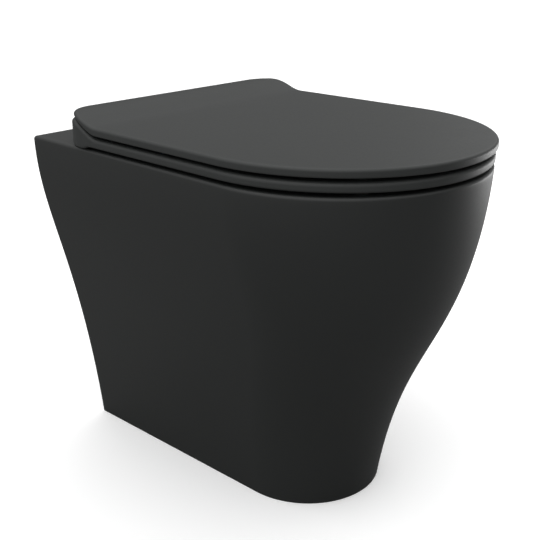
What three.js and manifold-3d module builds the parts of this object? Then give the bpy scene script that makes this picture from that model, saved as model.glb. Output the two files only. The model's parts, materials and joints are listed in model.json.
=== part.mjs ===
// A floor-standing, back-to-wall WC pan with its soft-close, quick-release seat and lid.
// Millimetres, +Z up, the front of the bowl towards -Y. The origin is on the floor, in the middle of
// the object's width and depth. Places along the depth are given as distances out from the wall plane.
import * as THREE from "three";
import { mergeVertices } from "three/addons/utils/BufferGeometryUtils.js";
import Module from "manifold-3d";

const wasm = await Module();
wasm.setup();

// ---------------------------------------------------------------- driving dimensions
const rimHeight = 400;
const footHalfWidth = 90;
const rimHalfWidth = 164;
const footReach = 384;
const rimReach = 499;
const rimFlare = 0.022;
const rimEdgeRadius = 4;
const skirtWall = 12;
const deckThickness = 14;

const bowlWall = 10;
const bowlHalfWidth = 122;
const bowlRear = 150;
const bowlFront = 462;
const sumpFloor = 100;
const bowlLipDrop = 26;

const wasteHeight = 180;
const trapBore = 76;
const trapWall = 9;
const trapFloorGap = 10;
const trapThroat = 3;
const trapSlope = 60;
const trapCrestRise = 3;
const spigotWall = 13;
const spigotFace = 45;
const spigotLength = 65;

const flushHeight = 335;
const flushBore = 45;
const flushWall = 7.5;
const flushFace = 50;

const seatOverhang = 0.7;
const seatHalfWidth = 169;
const seatFlare = 0.009;
const seatLift = 4;
const seatThickness = 10.4;
const seatRear = 63;
const seatCornerRadius = 36;
const seatOpeningHalfWidth = 111;
const seatOpeningRear = 165;
const seatOpeningFront = 443;

const lidOverhang = 2.8;
const lidHalfWidth = 171.1;
const lidFlare = 0.009;
const lidSeatGap = 4.2;
const lidBand = 9.1;
const lidPlate = 4.6;
const lidRear = 67;
const lidCornerRadius = 41;
const lidHump = 12.3;
const humpStart = 83;
const humpEnd = 131;

const fixingSpacing = 155;
const fixingHole = 15;
const fixingAhead = 14.5;
const heelGap = 1;
const heelRadius = 10.5;
const hingePinRadius = 4;
const hingeBlockWidth = 31;
const hingeBlockFront = 28;
const hingeBlockTop = 13;
const hingeBlockRadius = 9.5;
const buttonWidth = 10;
const buttonHeight = 4;
const buttonProud = 2.6;
const buttonTravel = 3;

const studRadius = 3;
const studLength = 50;
const bracketHeight = 46;
const bracketDepth = 50;
const bracketFoot = 26;
const bracketPlate = 3;

// ---------------------------------------------------------------- clearances
const touchGap = 0.3;
const pinClearance = 0.3;
const sideClearance = 0.7;

// ---------------------------------------------------------------- worked out from the above
const trapRadius = trapBore / 2;
const trapOuter = trapRadius + trapWall;
const trapDipHeight = trapOuter + trapFloorGap;
const trapBend = trapOuter + trapThroat;
const spigotRadius = trapRadius + spigotWall;
const depth = rimReach + lidOverhang;
const wallY = depth / 2;
const hingeY = wallY - seatRear - heelRadius;
const hingeZ = rimHeight + heelGap + heelRadius;
const fixingY = hingeY - fixingAhead;
const fixingX = fixingSpacing / 2;
const blockInner = fixingX - hingeBlockWidth / 2;
const blockOuter = fixingX + hingeBlockWidth / 2;
const seatBottom = rimHeight + seatLift;
const seatTop = seatBottom + seatThickness;
const lidBottom = seatTop + lidSeatGap;
const lidTop = lidBottom + lidBand;

const sides = [
  { name: "left", sign: -1 },
  { name: "right", sign: 1 },
];

// ---------------------------------------------------------------- materials
const finishes = {
  black_ceramic: { color: 0x2b2d2c, roughness: 0.5, metalness: 0 },
  black_duroplast: { color: 0x2d2f2e, roughness: 0.45, metalness: 0 },
  dark_plastic: { color: 0x1f2020, roughness: 0.6, metalness: 0 },
  white_plastic: { color: 0xe6e6e2, roughness: 0.5, metalness: 0 },
  rubber: { color: 0x161616, roughness: 0.85, metalness: 0 },
  clear_rubber: { color: 0xc9cbc8, roughness: 0.4, metalness: 0 },
  stainless: { color: 0xb9bbbd, roughness: 0.3, metalness: 1 },
};
const materials = Object.fromEntries(
  Object.entries(finishes).map(([name, values]) => [
    name,
    new THREE.MeshStandardMaterial({ name, ...values }),
  ]),
);

// ---------------------------------------------------------------- solids
// A closed three.js geometry as a solid that can be cut and joined.
function solid(geometry) {
  const flat = geometry.index ? geometry.toNonIndexed() : geometry.clone();
  flat.deleteAttribute("normal");
  flat.deleteAttribute("uv");
  const merged = mergeVertices(flat, 1e-4);
  return new wasm.Manifold(
    new wasm.Mesh({
      numProp: 3,
      vertProperties: merged.attributes.position.array,
      triVerts: new Uint32Array(merged.index.array),
    }),
  );
}

// A solid as a three.js geometry. Corners closer than smallestEdge become one, and the slivers
// between them go.
const smallestEdge = 0.02;
function geometryOf(body) {
  const { vertProperties, triVerts } = body.getMesh();
  const geometry = new THREE.BufferGeometry();
  geometry.setAttribute("position", new THREE.BufferAttribute(vertProperties, 3));
  geometry.setIndex(new THREE.BufferAttribute(triVerts, 1));
  const merged = mergeVertices(geometry, smallestEdge);
  const corners = merged.index.array;
  const kept = [];
  for (let i = 0; i < corners.length; i += 3) {
    const [a, b, c] = corners.slice(i, i + 3);
    if (a !== b && b !== c && c !== a) kept.push(a, b, c);
  }
  merged.setIndex(kept);
  const shaded = merged.toNonIndexed();
  shaded.computeVertexNormals();
  return shaded;
}

const join = (first, ...others) => others.reduce((whole, part) => whole.add(part), first);
const cut = (first, ...others) => others.reduce((whole, part) => whole.subtract(part), first);

// A box from its lowest to its highest corner.
function box([x0, y0, z0], [x1, y1, z1]) {
  const geometry = new THREE.BoxGeometry(x1 - x0, y1 - y0, z1 - z0);
  geometry.translate((x0 + x1) / 2, (y0 + y1) / 2, (z0 + z1) / 2);
  return solid(geometry);
}

// A solid of revolution about +Z from (radius, height) points that start and end on the axis.
function turned(points, segments = 24) {
  const profile = points.map(([radius, height]) => new THREE.Vector2(radius, height));
  const geometry = new THREE.LatheGeometry(profile, segments);
  geometry.rotateX(Math.PI / 2);
  return solid(geometry);
}

// A round bar along +Z from z0 to z1.
function bar(radius, z0, z1, segments = 24) {
  return turned([[0, z0], [radius, z0], [radius, z1], [0, z1]], segments);
}

const ring = (outer, inner, z0, z1, segments = 24) =>
  cut(bar(outer, z0, z1, segments), bar(inner, z0 - 1, z1 + 1, segments));

const alongX = (body) => body.rotate([0, 90, 0]);
const alongY = (body) => body.rotate([-90, 0, 0]);

// A prism along X with its outline given as (y, z) points that run anticlockwise seen from +X.
function prismAcross(points, x0, x1) {
  const outline = new THREE.Shape(points.map(([y, z]) => new THREE.Vector2(y, z)));
  const geometry = new THREE.ExtrudeGeometry(outline, { depth: x1 - x0, bevelEnabled: false });
  const toXYZ = new THREE.Matrix4().makeBasis(
    new THREE.Vector3(0, 1, 0),
    new THREE.Vector3(0, 0, 1),
    new THREE.Vector3(1, 0, 0),
  );
  geometry.applyMatrix4(toXYZ);
  geometry.translate(x0, 0, 0);
  return solid(geometry);
}

// An upright prism from an (x, y) outline.
function prismUp(points, z0, z1) {
  const outline = new THREE.Shape(points.map(([x, y]) => new THREE.Vector2(x, y)));
  const geometry = new THREE.ExtrudeGeometry(outline, { depth: z1 - z0, bevelEnabled: false });
  geometry.translate(0, 0, z0);
  return solid(geometry);
}

// A closed skin through level outlines of equal point counts, each { z, points }.
function loft(levels) {
  const count = levels[0].points.length;
  const positions = levels.flatMap(({ z, points }) => points.flatMap(([x, y]) => [x, y, z]));
  const index = [];
  for (let level = 0; level < levels.length - 1; level += 1) {
    for (let i = 0; i < count; i += 1) {
      const next = (i + 1) % count;
      const a = level * count + i;
      const b = level * count + next;
      index.push(a, b, b + count, a, b + count, a + count);
    }
  }
  const capOf = (level) =>
    THREE.ShapeUtils.triangulateShape(
      levels[level].points.map(([x, y]) => new THREE.Vector2(x, y)),
      [],
    ).map((face) => face.map((i) => i + level * count));
  capOf(0).forEach(([a, b, c]) => index.push(c, b, a));
  capOf(levels.length - 1).forEach(([a, b, c]) => index.push(a, b, c));
  const geometry = new THREE.BufferGeometry();
  geometry.setAttribute("position", new THREE.Float32BufferAttribute(positions, 3));
  geometry.setIndex(index);
  return solid(geometry);
}

// A round bar along a curve.
function sweep(curve, radius, steps, segments = 20) {
  const section = new THREE.Shape();
  section.absarc(0, 0, radius, 0, 2 * Math.PI, false);
  const geometry = new THREE.ExtrudeGeometry(section, {
    steps,
    curveSegments: segments,
    bevelEnabled: false,
    extrudePath: curve,
  });
  return solid(geometry);
}

// ---------------------------------------------------------------- outlines and profiles
// Points of a quarter turn or more about (cx, cy), with separate radii along x and y.
function arc(cx, cy, rx, ry, from, to, steps) {
  return Array.from({ length: steps + 1 }, (_, i) => {
    const angle = THREE.MathUtils.degToRad(from + ((to - from) * i) / steps);
    return [cx + rx * Math.cos(angle), cy + ry * Math.sin(angle)];
  });
}

// A D-shaped plan: a rear edge, two sides that flare forward and a half-ellipse nose.
// rear and reach are distances from the wall plane.
function planOutline({ rear, reach, halfWidth, flare, noseRatio = 1, corner = 0, steps = 28 }) {
  const noseHalf = (halfWidth + flare * reach) / (1 + flare * noseRatio);
  const noseLength = noseHalf * noseRatio;
  const noseY = wallY - (reach - noseLength);
  const rearHalf = halfWidth + flare * rear;
  const rearY = wallY - rear;
  const nose = arc(0, noseY, noseHalf, noseLength, 180, 360, steps);
  if (corner === 0) return [[-rearHalf, rearY], ...nose, [rearHalf, rearY]];
  return [
    ...arc(-rearHalf + corner, rearY - corner, corner, corner, 90, 180, 4),
    ...nose,
    ...arc(rearHalf - corner, rearY - corner, corner, corner, 0, 90, 4),
  ];
}

// The skirt's slope from foot to rim is one cubic curve each for its side and its nose: the value at
// the foot, two handles and the value at the rim, with heights as shares of the rim height.
const sideCurve = new THREE.CubicBezierCurve(
  new THREE.Vector2(footHalfWidth, 0),
  new THREE.Vector2(footHalfWidth + 27, 0.61 * rimHeight),
  new THREE.Vector2(rimHalfWidth, 0.75 * rimHeight),
  new THREE.Vector2(rimHalfWidth, rimHeight),
);
const noseCurve = new THREE.CubicBezierCurve(
  new THREE.Vector2(footReach, 0),
  new THREE.Vector2(footReach + 30, 0.51 * rimHeight),
  new THREE.Vector2(rimReach - 12, 0.48 * rimHeight),
  new THREE.Vector2(rimReach, rimHeight),
);

// The value of a slope curve at a height, found by halving the interval.
function valueAt(curve, z) {
  let low = 0;
  let high = 1;
  for (let step = 0; step < 40; step += 1) {
    const middle = (low + high) / 2;
    if (curve.getPoint(middle).y < z) low = middle;
    else high = middle;
  }
  return curve.getPoint(low).x;
}

// The skirt's plan at a height, moved inwards by inset.
function skirtPlan(z, inset = 0, rear = 0, steps = 28) {
  const level = THREE.MathUtils.clamp(z, 0, rimHeight);
  return planOutline({
    rear,
    reach: valueAt(noseCurve, level) - inset,
    halfWidth: valueAt(sideCurve, level) - inset,
    flare: (rimFlare * level) / rimHeight,
    steps,
  });
}

// The raised rear of the seat and lid: 0 in front of the slope, 1 behind it, smooth between.
function hump(fromWall) {
  return 1 - THREE.MathUtils.smoothstep(fromWall, humpStart, humpEnd);
}
const humpSteps = Array.from({ length: 9 }, (_, i) => humpEnd + ((humpStart - humpEnd) * i) / 8);

// ---------------------------------------------------------------- the pan
const connectorSocketRadius = spigotRadius + 6;
const connectorWall = 4;
const connectorPipe = 50;
const connectorPipeWall = 5;
const connectorSocketLength = 34;
const connectorBack = 3;
const flushRadius = flushBore / 2;
const flushOuter = flushRadius + flushWall;

// The water way: down out of the sump, round the dip, up a slope and over the crest to the spigot.
// lead is how far it starts above the dip's bend.
function trapCurve(lead) {
  const slope = THREE.MathUtils.degToRad(trapSlope);
  const crest = wasteHeight + trapCrestRise;
  const crestY = wallY - spigotFace - connectorSocketLength - trapWall;
  const rise = crest - trapDipHeight - 2 * trapBend * (1 - Math.cos(slope));
  const dipY = crestY - 2 * trapBend * Math.sin(slope) - rise / Math.tan(slope);
  const points = [
    [dipY - trapBend, trapDipHeight + trapBend + lead],
    ...arc(dipY, trapDipHeight + trapBend, trapBend, trapBend, 180, 270 + trapSlope, 6),
    ...arc(crestY, crest - trapBend, trapBend, trapBend, 90 + trapSlope, 90, 3),
    [wallY - spigotFace - trapWall, crest],
  ];
  return new THREE.CatmullRomCurve3(
    points.map(([y, z]) => new THREE.Vector3(0, y, z)),
    false,
    "centripetal",
  );
}

// The bowl's plan at each height narrows to the sump, kept between its rear and front lines.
function bowlLevel(z, halfWidth, rear, front, grow, steps = 36) {
  const middle = wallY - (rear + front) / 2;
  const halfLength = (front - rear) / 2 + grow;
  const points = arc(0, middle, halfWidth + grow, halfLength, 0, 360, steps).slice(0, -1);
  return { z, points };
}

function bowlLoft(grow, top) {
  const shoulder = rimHeight - bowlLipDrop;
  const sumpHalf = 42;
  return loft([
    bowlLevel(sumpFloor - grow, sumpHalf, 215, 330, grow),
    bowlLevel(sumpFloor + 30, 54, 213, 352, grow),
    bowlLevel(sumpFloor + 90, 72, 190, 394, grow),
    bowlLevel(sumpFloor + 150, 95, 170, 426, grow),
    bowlLevel(sumpFloor + 210, 112, 157, 449, grow),
    bowlLevel(shoulder, bowlHalfWidth + 3, bowlRear - 3, bowlFront + 3, grow),
    bowlLevel(rimHeight - 10, bowlHalfWidth, bowlRear, bowlFront, grow),
    bowlLevel(top, bowlHalfWidth, bowlRear, bowlFront, grow),
  ]);
}

function pan() {
  const skirtHeights = [0, 35, 75, 115, 150, 185, 215, 245, 275, 305, 340, 370];
  const edge = [0, 35, 65, 90].map((degrees) => {
    const angle = THREE.MathUtils.degToRad(degrees);
    return {
      z: rimHeight - rimEdgeRadius * (1 - Math.sin(angle)),
      inset: rimEdgeRadius * (1 - Math.cos(angle)),
    };
  });
  const outer = loft([
    ...skirtHeights.map((z) => ({ z, points: skirtPlan(z) })),
    ...edge.map(({ z, inset }) => ({ z, points: skirtPlan(z, inset, inset) })),
  ]);
  const cavityHeights = [-1, 75, 150, 215, 275, 340, rimHeight - deckThickness];
  const cavity = loft(
    cavityHeights.map((z) => ({ z, points: skirtPlan(z, skirtWall, -1, 20) })),
  );
  const shell = cut(outer, cavity);

  const spigot = alongY(bar(spigotRadius, 0, spigotLength)).translate([
    0,
    wallY - spigotFace - spigotLength,
    wasteHeight,
  ]);
  const spigotBore = alongY(bar(trapRadius, 0, spigotLength)).translate([
    0,
    wallY - spigotFace - spigotLength / 3,
    wasteHeight,
  ]);
  const hornLength = bowlRear - flushFace + bowlWall;
  const hornPlace = [0, wallY - flushFace - hornLength, flushHeight];
  const horn = alongY(bar(flushOuter, 0, hornLength)).translate(hornPlace);
  const hornBore = alongY(bar(flushRadius, -20, hornLength + 1)).translate(hornPlace);
  const solids = join(
    shell,
    bowlLoft(bowlWall, rimHeight - deckThickness / 2),
    sweep(trapCurve(16), trapOuter, 24),
    spigot,
    horn,
  );
  const holes = sides.map(({ sign }) =>
    bar(fixingHole / 2, rimHeight - deckThickness - 1, rimHeight + 1, 20).translate([
      sign * fixingX,
      fixingY,
      0,
    ]),
  );
  return cut(
    solids,
    bowlLoft(0, rimHeight + 1),
    sweep(trapCurve(40), trapRadius, 24),
    spigotBore,
    hornBore,
    ...holes,
  );
}

// ---------------------------------------------------------------- pipes at the back
function outletConnector() {
  const socketStart = spigotFace + connectorSocketLength;
  const outerSocket = connectorSocketRadius + connectorWall;
  const outerPipe = connectorPipe + connectorPipeWall;
  const body = turned(
    [
      [0, 0],
      [outerSocket, 0],
      [outerSocket, connectorSocketLength],
      [outerPipe, connectorSocketLength + connectorWall],
      [outerPipe, socketStart - connectorBack],
      [0, socketStart - connectorBack],
    ],
    32,
  );
  const bore = join(
    bar(connectorSocketRadius, -1, connectorSocketLength, 32),
    bar(connectorPipe, 0, socketStart, 32),
  );
  return alongY(cut(body, bore)).translate([0, wallY - socketStart, wasteHeight]);
}

function outletSeal() {
  const inner = spigotRadius + touchGap;
  const outer = connectorSocketRadius - touchGap;
  const root = (inner + outer) / 2;
  const pitch = 7;
  const fins = [0, 1, 2].flatMap((i) => [
    [root, 2 + i * pitch],
    [outer, 3 + i * pitch],
    [root, 5 + i * pitch],
  ]);
  const body = turned([[0, 0], [root, 0], ...fins, [root, 24], [0, 24]], 32);
  return alongY(cut(body, bar(inner, -1, 25, 32))).translate([0, wallY - spigotFace - 30, wasteHeight]);
}

function flushInletSeal() {
  const plug = flushRadius - touchGap;
  const bore = 16;
  const flange = 27;
  const body = turned(
    [[0, 0], [plug - 1.5, 0], [plug, 6], [plug, 24], [flange, 24 + touchGap], [flange, 32], [0, 32]],
    28,
  );
  return alongY(cut(body, bar(bore, -1, 33, 28))).translate([0, wallY - flushFace - 24, flushHeight]);
}

// ---------------------------------------------------------------- floor brackets
// An angle bracket on the floor inside the skirt, with a rubber pad that grips the ceramic.
const padThickness = 3;
const bracketX = footHalfWidth - skirtWall - padThickness - 2 * touchGap;
const bracketRear = 14;

function floorBracket(sign) {
  const y1 = wallY - bracketRear;
  const y0 = y1 - bracketDepth;
  const outline = [
    [-bracketX, 0],
    [-bracketX + bracketFoot, 0],
    [-bracketX + bracketFoot, bracketPlate],
    [-bracketX + bracketPlate, bracketPlate],
    [-bracketX + bracketPlate, bracketHeight],
    [-bracketX, bracketHeight],
  ];
  const upright = new THREE.Shape(outline.map(([x, z]) => new THREE.Vector2(x, z)));
  const geometry = new THREE.ExtrudeGeometry(upright, { depth: bracketDepth, bevelEnabled: false });
  geometry.rotateX(Math.PI / 2);
  geometry.translate(0, y1, 0);
  const screwHoles = [0.25, 0.75].map((share) =>
    bar(3.5, -1, bracketPlate + 1, 16).translate([
      -bracketX + bracketFoot / 2 + bracketPlate,
      y0 + share * bracketDepth,
      0,
    ]),
  );
  const left = cut(solid(geometry), ...screwHoles);
  return sign < 0 ? left : left.mirror([1, 0, 0]);
}

function bracketPad(sign) {
  const y1 = wallY - bracketRear - touchGap;
  const y0 = y1 - bracketDepth + 2 * touchGap;
  const inner = bracketX + touchGap;
  const outer = inner + padThickness - touchGap;
  const left = box([-outer, y0, 4], [-inner, y1, bracketHeight - 6]);
  return sign < 0 ? left : left.mirror([1, 0, 0]);
}

// ---------------------------------------------------------------- seat fixings, one set per side
const gasketThickness = 1;
const plateThickness = 2;
const shoulderThickness = 1.5;
const baseRadius = 14;
const gasketBottom = rimHeight + touchGap;
const plateBottom = gasketBottom + gasketThickness + touchGap;
const shoulderBottom = plateBottom + plateThickness + touchGap;
const shoulderTop = shoulderBottom + shoulderThickness;
const postRadius = 5;
const postNeck = 3.5;
const postHead = 3;
const neckBottom = shoulderTop + 3.6;
const neckTop = neckBottom + 2.3;
const postTop = neckTop + postHead;
const bungTop = rimHeight - touchGap;
const bungBottom = rimHeight - deckThickness - 24;
const nutHeight = 6;

function atFixing(body, sign) {
  return body.translate([sign * fixingX, fixingY, 0]);
}

function rubberBung() {
  return ring(fixingHole / 2 - touchGap, studRadius + touchGap, bungBottom, bungTop, 20);
}

function bungNut() {
  const top = bungBottom - touchGap;
  return cut(bar(7, top - nutHeight, top, 6), bar(studRadius + touchGap, top - nutHeight - 1, top + 1, 16));
}

function baseGasket() {
  return ring(baseRadius, studRadius + touchGap, gasketBottom, gasketBottom + gasketThickness, 28);
}

function basePlate() {
  return ring(baseRadius, studRadius + touchGap, plateBottom, plateBottom + plateThickness, 28);
}

function hingePost() {
  return turned(
    [
      [0, rimHeight - studLength],
      [studRadius, rimHeight - studLength],
      [studRadius, shoulderBottom],
      [9, shoulderBottom],
      [9, shoulderTop],
      [postRadius, shoulderTop],
      [postRadius, neckBottom],
      [postNeck, neckBottom],
      [postNeck, neckTop],
      [postRadius, neckTop],
      [postRadius, postTop - 1.2],
      [postRadius - 1.2, postTop],
      [0, postTop],
    ],
    20,
  );
}

// ---------------------------------------------------------------- hinge blocks
const blockBottom = shoulderTop + touchGap;
const blockFront = hingeY - hingeBlockFront;
const socketTop = postTop + touchGap;
const clipZ0 = neckBottom + 0.4;
const clipZ1 = clipZ0 + 1.4;
const buttonZ0 = clipZ0 - 1.2;
const buttonZ1 = buttonZ0 + buttonHeight;
const clipRadius = 6.2;
const buttonBack = fixingY - clipRadius - buttonTravel - touchGap;
const buttonFront = blockFront - buttonProud;

function hingeBlock(sign) {
  const lowest = THREE.MathUtils.radToDeg(Math.asin((blockBottom - hingeZ) / hingeBlockRadius));
  const shoulder = 6;
  const top = hingeZ + hingeBlockTop;
  const profile = [
    [blockFront, blockBottom],
    ...arc(hingeY, hingeZ, hingeBlockRadius, hingeBlockRadius, lowest, 90, 9),
    [hingeY - hingeBlockRadius, top],
    ...arc(blockFront + shoulder, top - shoulder, shoulder, shoulder, 90, 180, 5),
  ];
  const body = prismAcross(profile, -hingeBlockWidth / 2, hingeBlockWidth / 2).translate([
    sign * fixingX,
    0,
    0,
  ]);
  const socket = atFixing(bar(postRadius + 0.4, blockBottom - 1, socketTop, 20), sign);
  const clipRoom = atFixing(bar(7.5, clipZ0 - touchGap, clipZ1 + touchGap, 20), sign);
  const pinBore = alongX(bar(hingePinRadius + pinClearance, -20, 20, 24)).translate([
    sign * fixingX,
    hingeY,
    hingeZ,
  ]);
  const halfPocket = buttonWidth / 2 + touchGap;
  const pocket = box(
    [sign * fixingX - halfPocket, blockFront - 1, buttonZ0 - touchGap],
    [sign * fixingX + halfPocket, fixingY - postRadius, buttonZ1 + touchGap],
  );
  return cut(body, socket, clipRoom, pinBore, pocket);
}

function releaseButton(sign) {
  return box(
    [sign * fixingX - buttonWidth / 2, buttonFront, buttonZ0],
    [sign * fixingX + buttonWidth / 2, buttonBack, buttonZ1],
  );
}

// A spring clip round the neck of the post, open towards the back.
function latchClip(sign) {
  const round = ring(clipRadius, postNeck + touchGap, clipZ0, clipZ1, 20);
  const mouth = box([-2.4, 0, clipZ0 - 1], [2.4, 8, clipZ1 + 1]);
  return atFixing(cut(round, mouth), sign);
}

// ---------------------------------------------------------------- pins, bushes and dampers
const lidLugInner = 8;
const lidLugOuter = blockInner - sideClearance;
const lidBushLength = 18;
const lidBushRadius = 6.2;
const lidDamperLength = 26;
const seatEarInner = blockOuter + sideClearance;
const seatBushLength = 17;
const seatBushRadius = 8.3;
const seatDamperLength = 38;
const pinInner = lidLugOuter - lidBushLength - touchGap;
const pinOuter = seatEarInner + seatBushLength + touchGap;

// Puts a body made along +Z on the hinge axis, running outwards from distance x on one side.
function onHingeAxis(body, sign, x) {
  const outwards = alongX(body).translate([x, 0, 0]);
  const placed = sign > 0 ? outwards : outwards.mirror([1, 0, 0]);
  return placed.translate([0, hingeY, hingeZ]);
}

const hingePin = (sign) =>
  onHingeAxis(bar(hingePinRadius, 0, pinOuter - pinInner, 20), sign, pinInner);

const seatBush = (sign) =>
  onHingeAxis(
    ring(seatBushRadius - touchGap, hingePinRadius + pinClearance, 0, seatBushLength, 24),
    sign,
    seatEarInner + touchGap,
  );

const lidBush = (sign) =>
  onHingeAxis(
    ring(lidBushRadius - touchGap, hingePinRadius + pinClearance, 0, lidBushLength - touchGap, 24),
    sign,
    lidLugOuter - lidBushLength,
  );

const damperBoreRadius = 3.4;
const damperRotorRadius = 3;
const seatDamperStart = pinOuter + 1;
const lidDamperStart = pinInner - 1;

// The housings are blind sleeves whose mouths face the hinge pin; the rotors turn in them.
const seatDamperHousing = (sign) =>
  onHingeAxis(
    cut(
      bar(seatBushRadius - touchGap, 0, seatDamperLength, 24),
      bar(damperBoreRadius, -1, seatDamperLength - 4, 16),
    ),
    sign,
    seatDamperStart,
  );

const seatDamperRotor = (sign) =>
  onHingeAxis(bar(damperRotorRadius, 0, seatDamperLength - 6, 16), sign, pinOuter + touchGap);

const lidDamperHousing = (sign) =>
  onHingeAxis(
    cut(
      bar(lidBushRadius - touchGap, 0, lidDamperLength, 24),
      bar(damperBoreRadius, 3, lidDamperLength + 1, 16),
    ),
    sign,
    lidDamperStart - lidDamperLength,
  );

const lidDamperRotor = (sign) =>
  onHingeAxis(
    bar(damperRotorRadius, 0, lidDamperLength - 5, 16),
    sign,
    pinInner - touchGap - (lidDamperLength - 5),
  );

// ---------------------------------------------------------------- the seat
const seatReach = rimReach + seatOverhang;
const heelFront = 30;
const heelSlope = 12;
const edgeRound = 3;
const recessGap = 4;

function seatPlan(inset = 0) {
  return planOutline({
    rear: seatRear + inset,
    reach: seatReach - inset,
    halfWidth: seatHalfWidth - inset,
    flare: seatFlare,
    noseRatio: 1.03,
    corner: seatCornerRadius - inset,
  });
}

function seatRing() {
  const slab = join(
    prismUp(seatPlan(1.5), seatBottom, seatBottom + 1.5),
    prismUp(seatPlan(), seatBottom + 1.5, seatTop - 1.5),
    prismUp(seatPlan(1.5), seatTop - 1.5, seatTop),
  );
  const front = cut(
    slab,
    box([-200, wallY - humpEnd, 0], [200, wallY, 2 * rimHeight]),
  );
  const topLine = humpSteps.map((fromWall) => [
    wallY - fromWall,
    seatTop + (lidHump + lidBand - lidPlate) * hump(fromWall),
  ]);
  const heel = rimHeight + heelGap;
  const rearTop = seatTop + lidHump + lidBand - lidPlate;
  const blockProfile = [
    [wallY - humpEnd, seatBottom],
    [hingeY - heelFront - heelSlope, seatBottom],
    [hingeY - heelFront, heel],
    ...arc(hingeY, hingeZ, heelRadius, heelRadius, 270, 360, 8),
    ...arc(wallY - seatRear - edgeRound, rearTop - edgeRound, edgeRound, edgeRound, 0, 90, 4),
    ...topLine.reverse(),
  ];
  const rearBlock = prismAcross(blockProfile, -200, 200).intersect(
    prismUp(seatPlan(), rimHeight, 2 * rimHeight),
  );
  const openingMiddle = wallY - (seatOpeningRear + seatOpeningFront) / 2;
  const opening = prismUp(
    arc(
      0,
      openingMiddle,
      seatOpeningHalfWidth,
      (seatOpeningFront - seatOpeningRear) / 2,
      0,
      360,
      44,
    ).slice(0, -1),
    rimHeight,
    2 * rimHeight,
  );
  const recess = box(
    [-seatEarInner, hingeY - hingeBlockFront - recessGap, rimHeight],
    [seatEarInner, wallY, 2 * rimHeight],
  );
  const bores = sides.flatMap(({ name, sign }) => {
    const damped = name === "left" ? seatDamperLength + 1 : 0;
    return onHingeAxis(
      bar(seatBushRadius, -1, seatBushLength + 2 * touchGap + damped, 24),
      sign,
      seatEarInner,
    );
  });
  const pinEnd = onHingeAxis(bar(hingePinRadius + 0.6, 0, seatBushLength + 4, 24), 1, seatEarInner);
  return cut(join(front, rearBlock), opening, recess, ...bores, pinEnd);
}

// ---------------------------------------------------------------- the lid
function lidPlan(inset = 0) {
  return planOutline({
    rear: lidRear + inset,
    reach: depth - inset,
    halfWidth: lidHalfWidth - inset,
    flare: lidFlare,
    noseRatio: 1.042,
    corner: Math.max(lidCornerRadius - inset, 1),
  });
}

function lidShell() {
  const line = (base, rise) =>
    humpSteps.map((fromWall) => [wallY - fromWall, base + rise * hump(fromWall)]);
  const rear = wallY - lidRear + 1;
  const front = wallY - depth - 1;
  const under = lidTop - lidPlate;
  const humpUnder = under + lidHump;
  const bandProfile = [
    [front, lidBottom],
    ...line(lidBottom, humpUnder - lidBottom),
    [rear, humpUnder],
    [rear, lidTop + lidHump],
    ...line(lidTop, lidHump).reverse(),
    [front, lidTop],
  ];
  const roomProfile = [
    [front, lidBottom - 1],
    ...line(lidBottom - 1, humpUnder - lidBottom),
    [rear, humpUnder - 1],
    [rear, humpUnder],
    ...line(under, lidHump).reverse(),
    [front, under],
  ];
  const block = prismAcross(bandProfile, -200, 200).intersect(
    prismUp(lidPlan(), rimHeight, 2 * rimHeight),
  );
  const room = prismAcross(roomProfile, -200, 200).intersect(
    prismUp(lidPlan(lidPlate), rimHeight, 2 * rimHeight),
  );
  const lugRadius = 10.5;
  const lugs = sides.map(({ sign }) => {
    const barrel = bar(lugRadius, 0, lidLugOuter - lidLugInner, 24);
    const web = prismAcross(
      [
        [hingeY - 8, hingeZ],
        [hingeY + 8, hingeZ],
        [hingeY + 8, humpUnder + 1],
        [hingeY - 8, humpUnder - 0.5],
      ],
      lidLugInner,
      lidLugOuter,
    );
    return join(onHingeAxis(barrel, sign, lidLugInner), sign > 0 ? web : web.mirror([1, 0, 0]));
  });
  const bores = sides.map(({ name, sign }) => {
    const damped = name === "right" ? lidDamperLength + 2 : 3;
    const bore = bar(lidBushRadius, 0, lidBushLength + damped, 24);
    return onHingeAxis(bore, sign, lidLugOuter + touchGap - lidBushLength - damped);
  });
  return cut(join(cut(block, room), ...lugs), ...bores);
}

// ---------------------------------------------------------------- buffers
// Each place is half the spread across and the distance from the wall.
const bufferPlaces = { rear: { x: 141, fromWall: 205 }, front: { x: 96, fromWall: 440 } };

function buffer(place, sign, radius, z0, z1) {
  const profile = [[0, z0], [radius - 1, z0], [radius, z0 + 1], [radius, z1], [0, z1]];
  return turned(profile, 20).translate([sign * place.x, wallY - place.fromWall, 0]);
}

// ---------------------------------------------------------------- the object
const toilet = new THREE.Group();

function addMesh(name, material, body) {
  const mesh = new THREE.Mesh(geometryOf(body), materials[material].clone());
  mesh.name = name;
  toilet.add(mesh);
}

addMesh("pan", "black_ceramic", pan());
addMesh("flush_inlet_seal", "rubber", flushInletSeal());
addMesh("outlet_seal", "rubber", outletSeal());
addMesh("outlet_connector", "white_plastic", outletConnector());
addMesh("seat_ring", "black_duroplast", seatRing());
addMesh("lid", "black_duroplast", lidShell());
addMesh("seat_damper_housing", "dark_plastic", seatDamperHousing(-1));
addMesh("seat_damper_rotor", "stainless", seatDamperRotor(-1));
addMesh("lid_damper_housing", "dark_plastic", lidDamperHousing(1));
addMesh("lid_damper_rotor", "stainless", lidDamperRotor(1));

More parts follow.
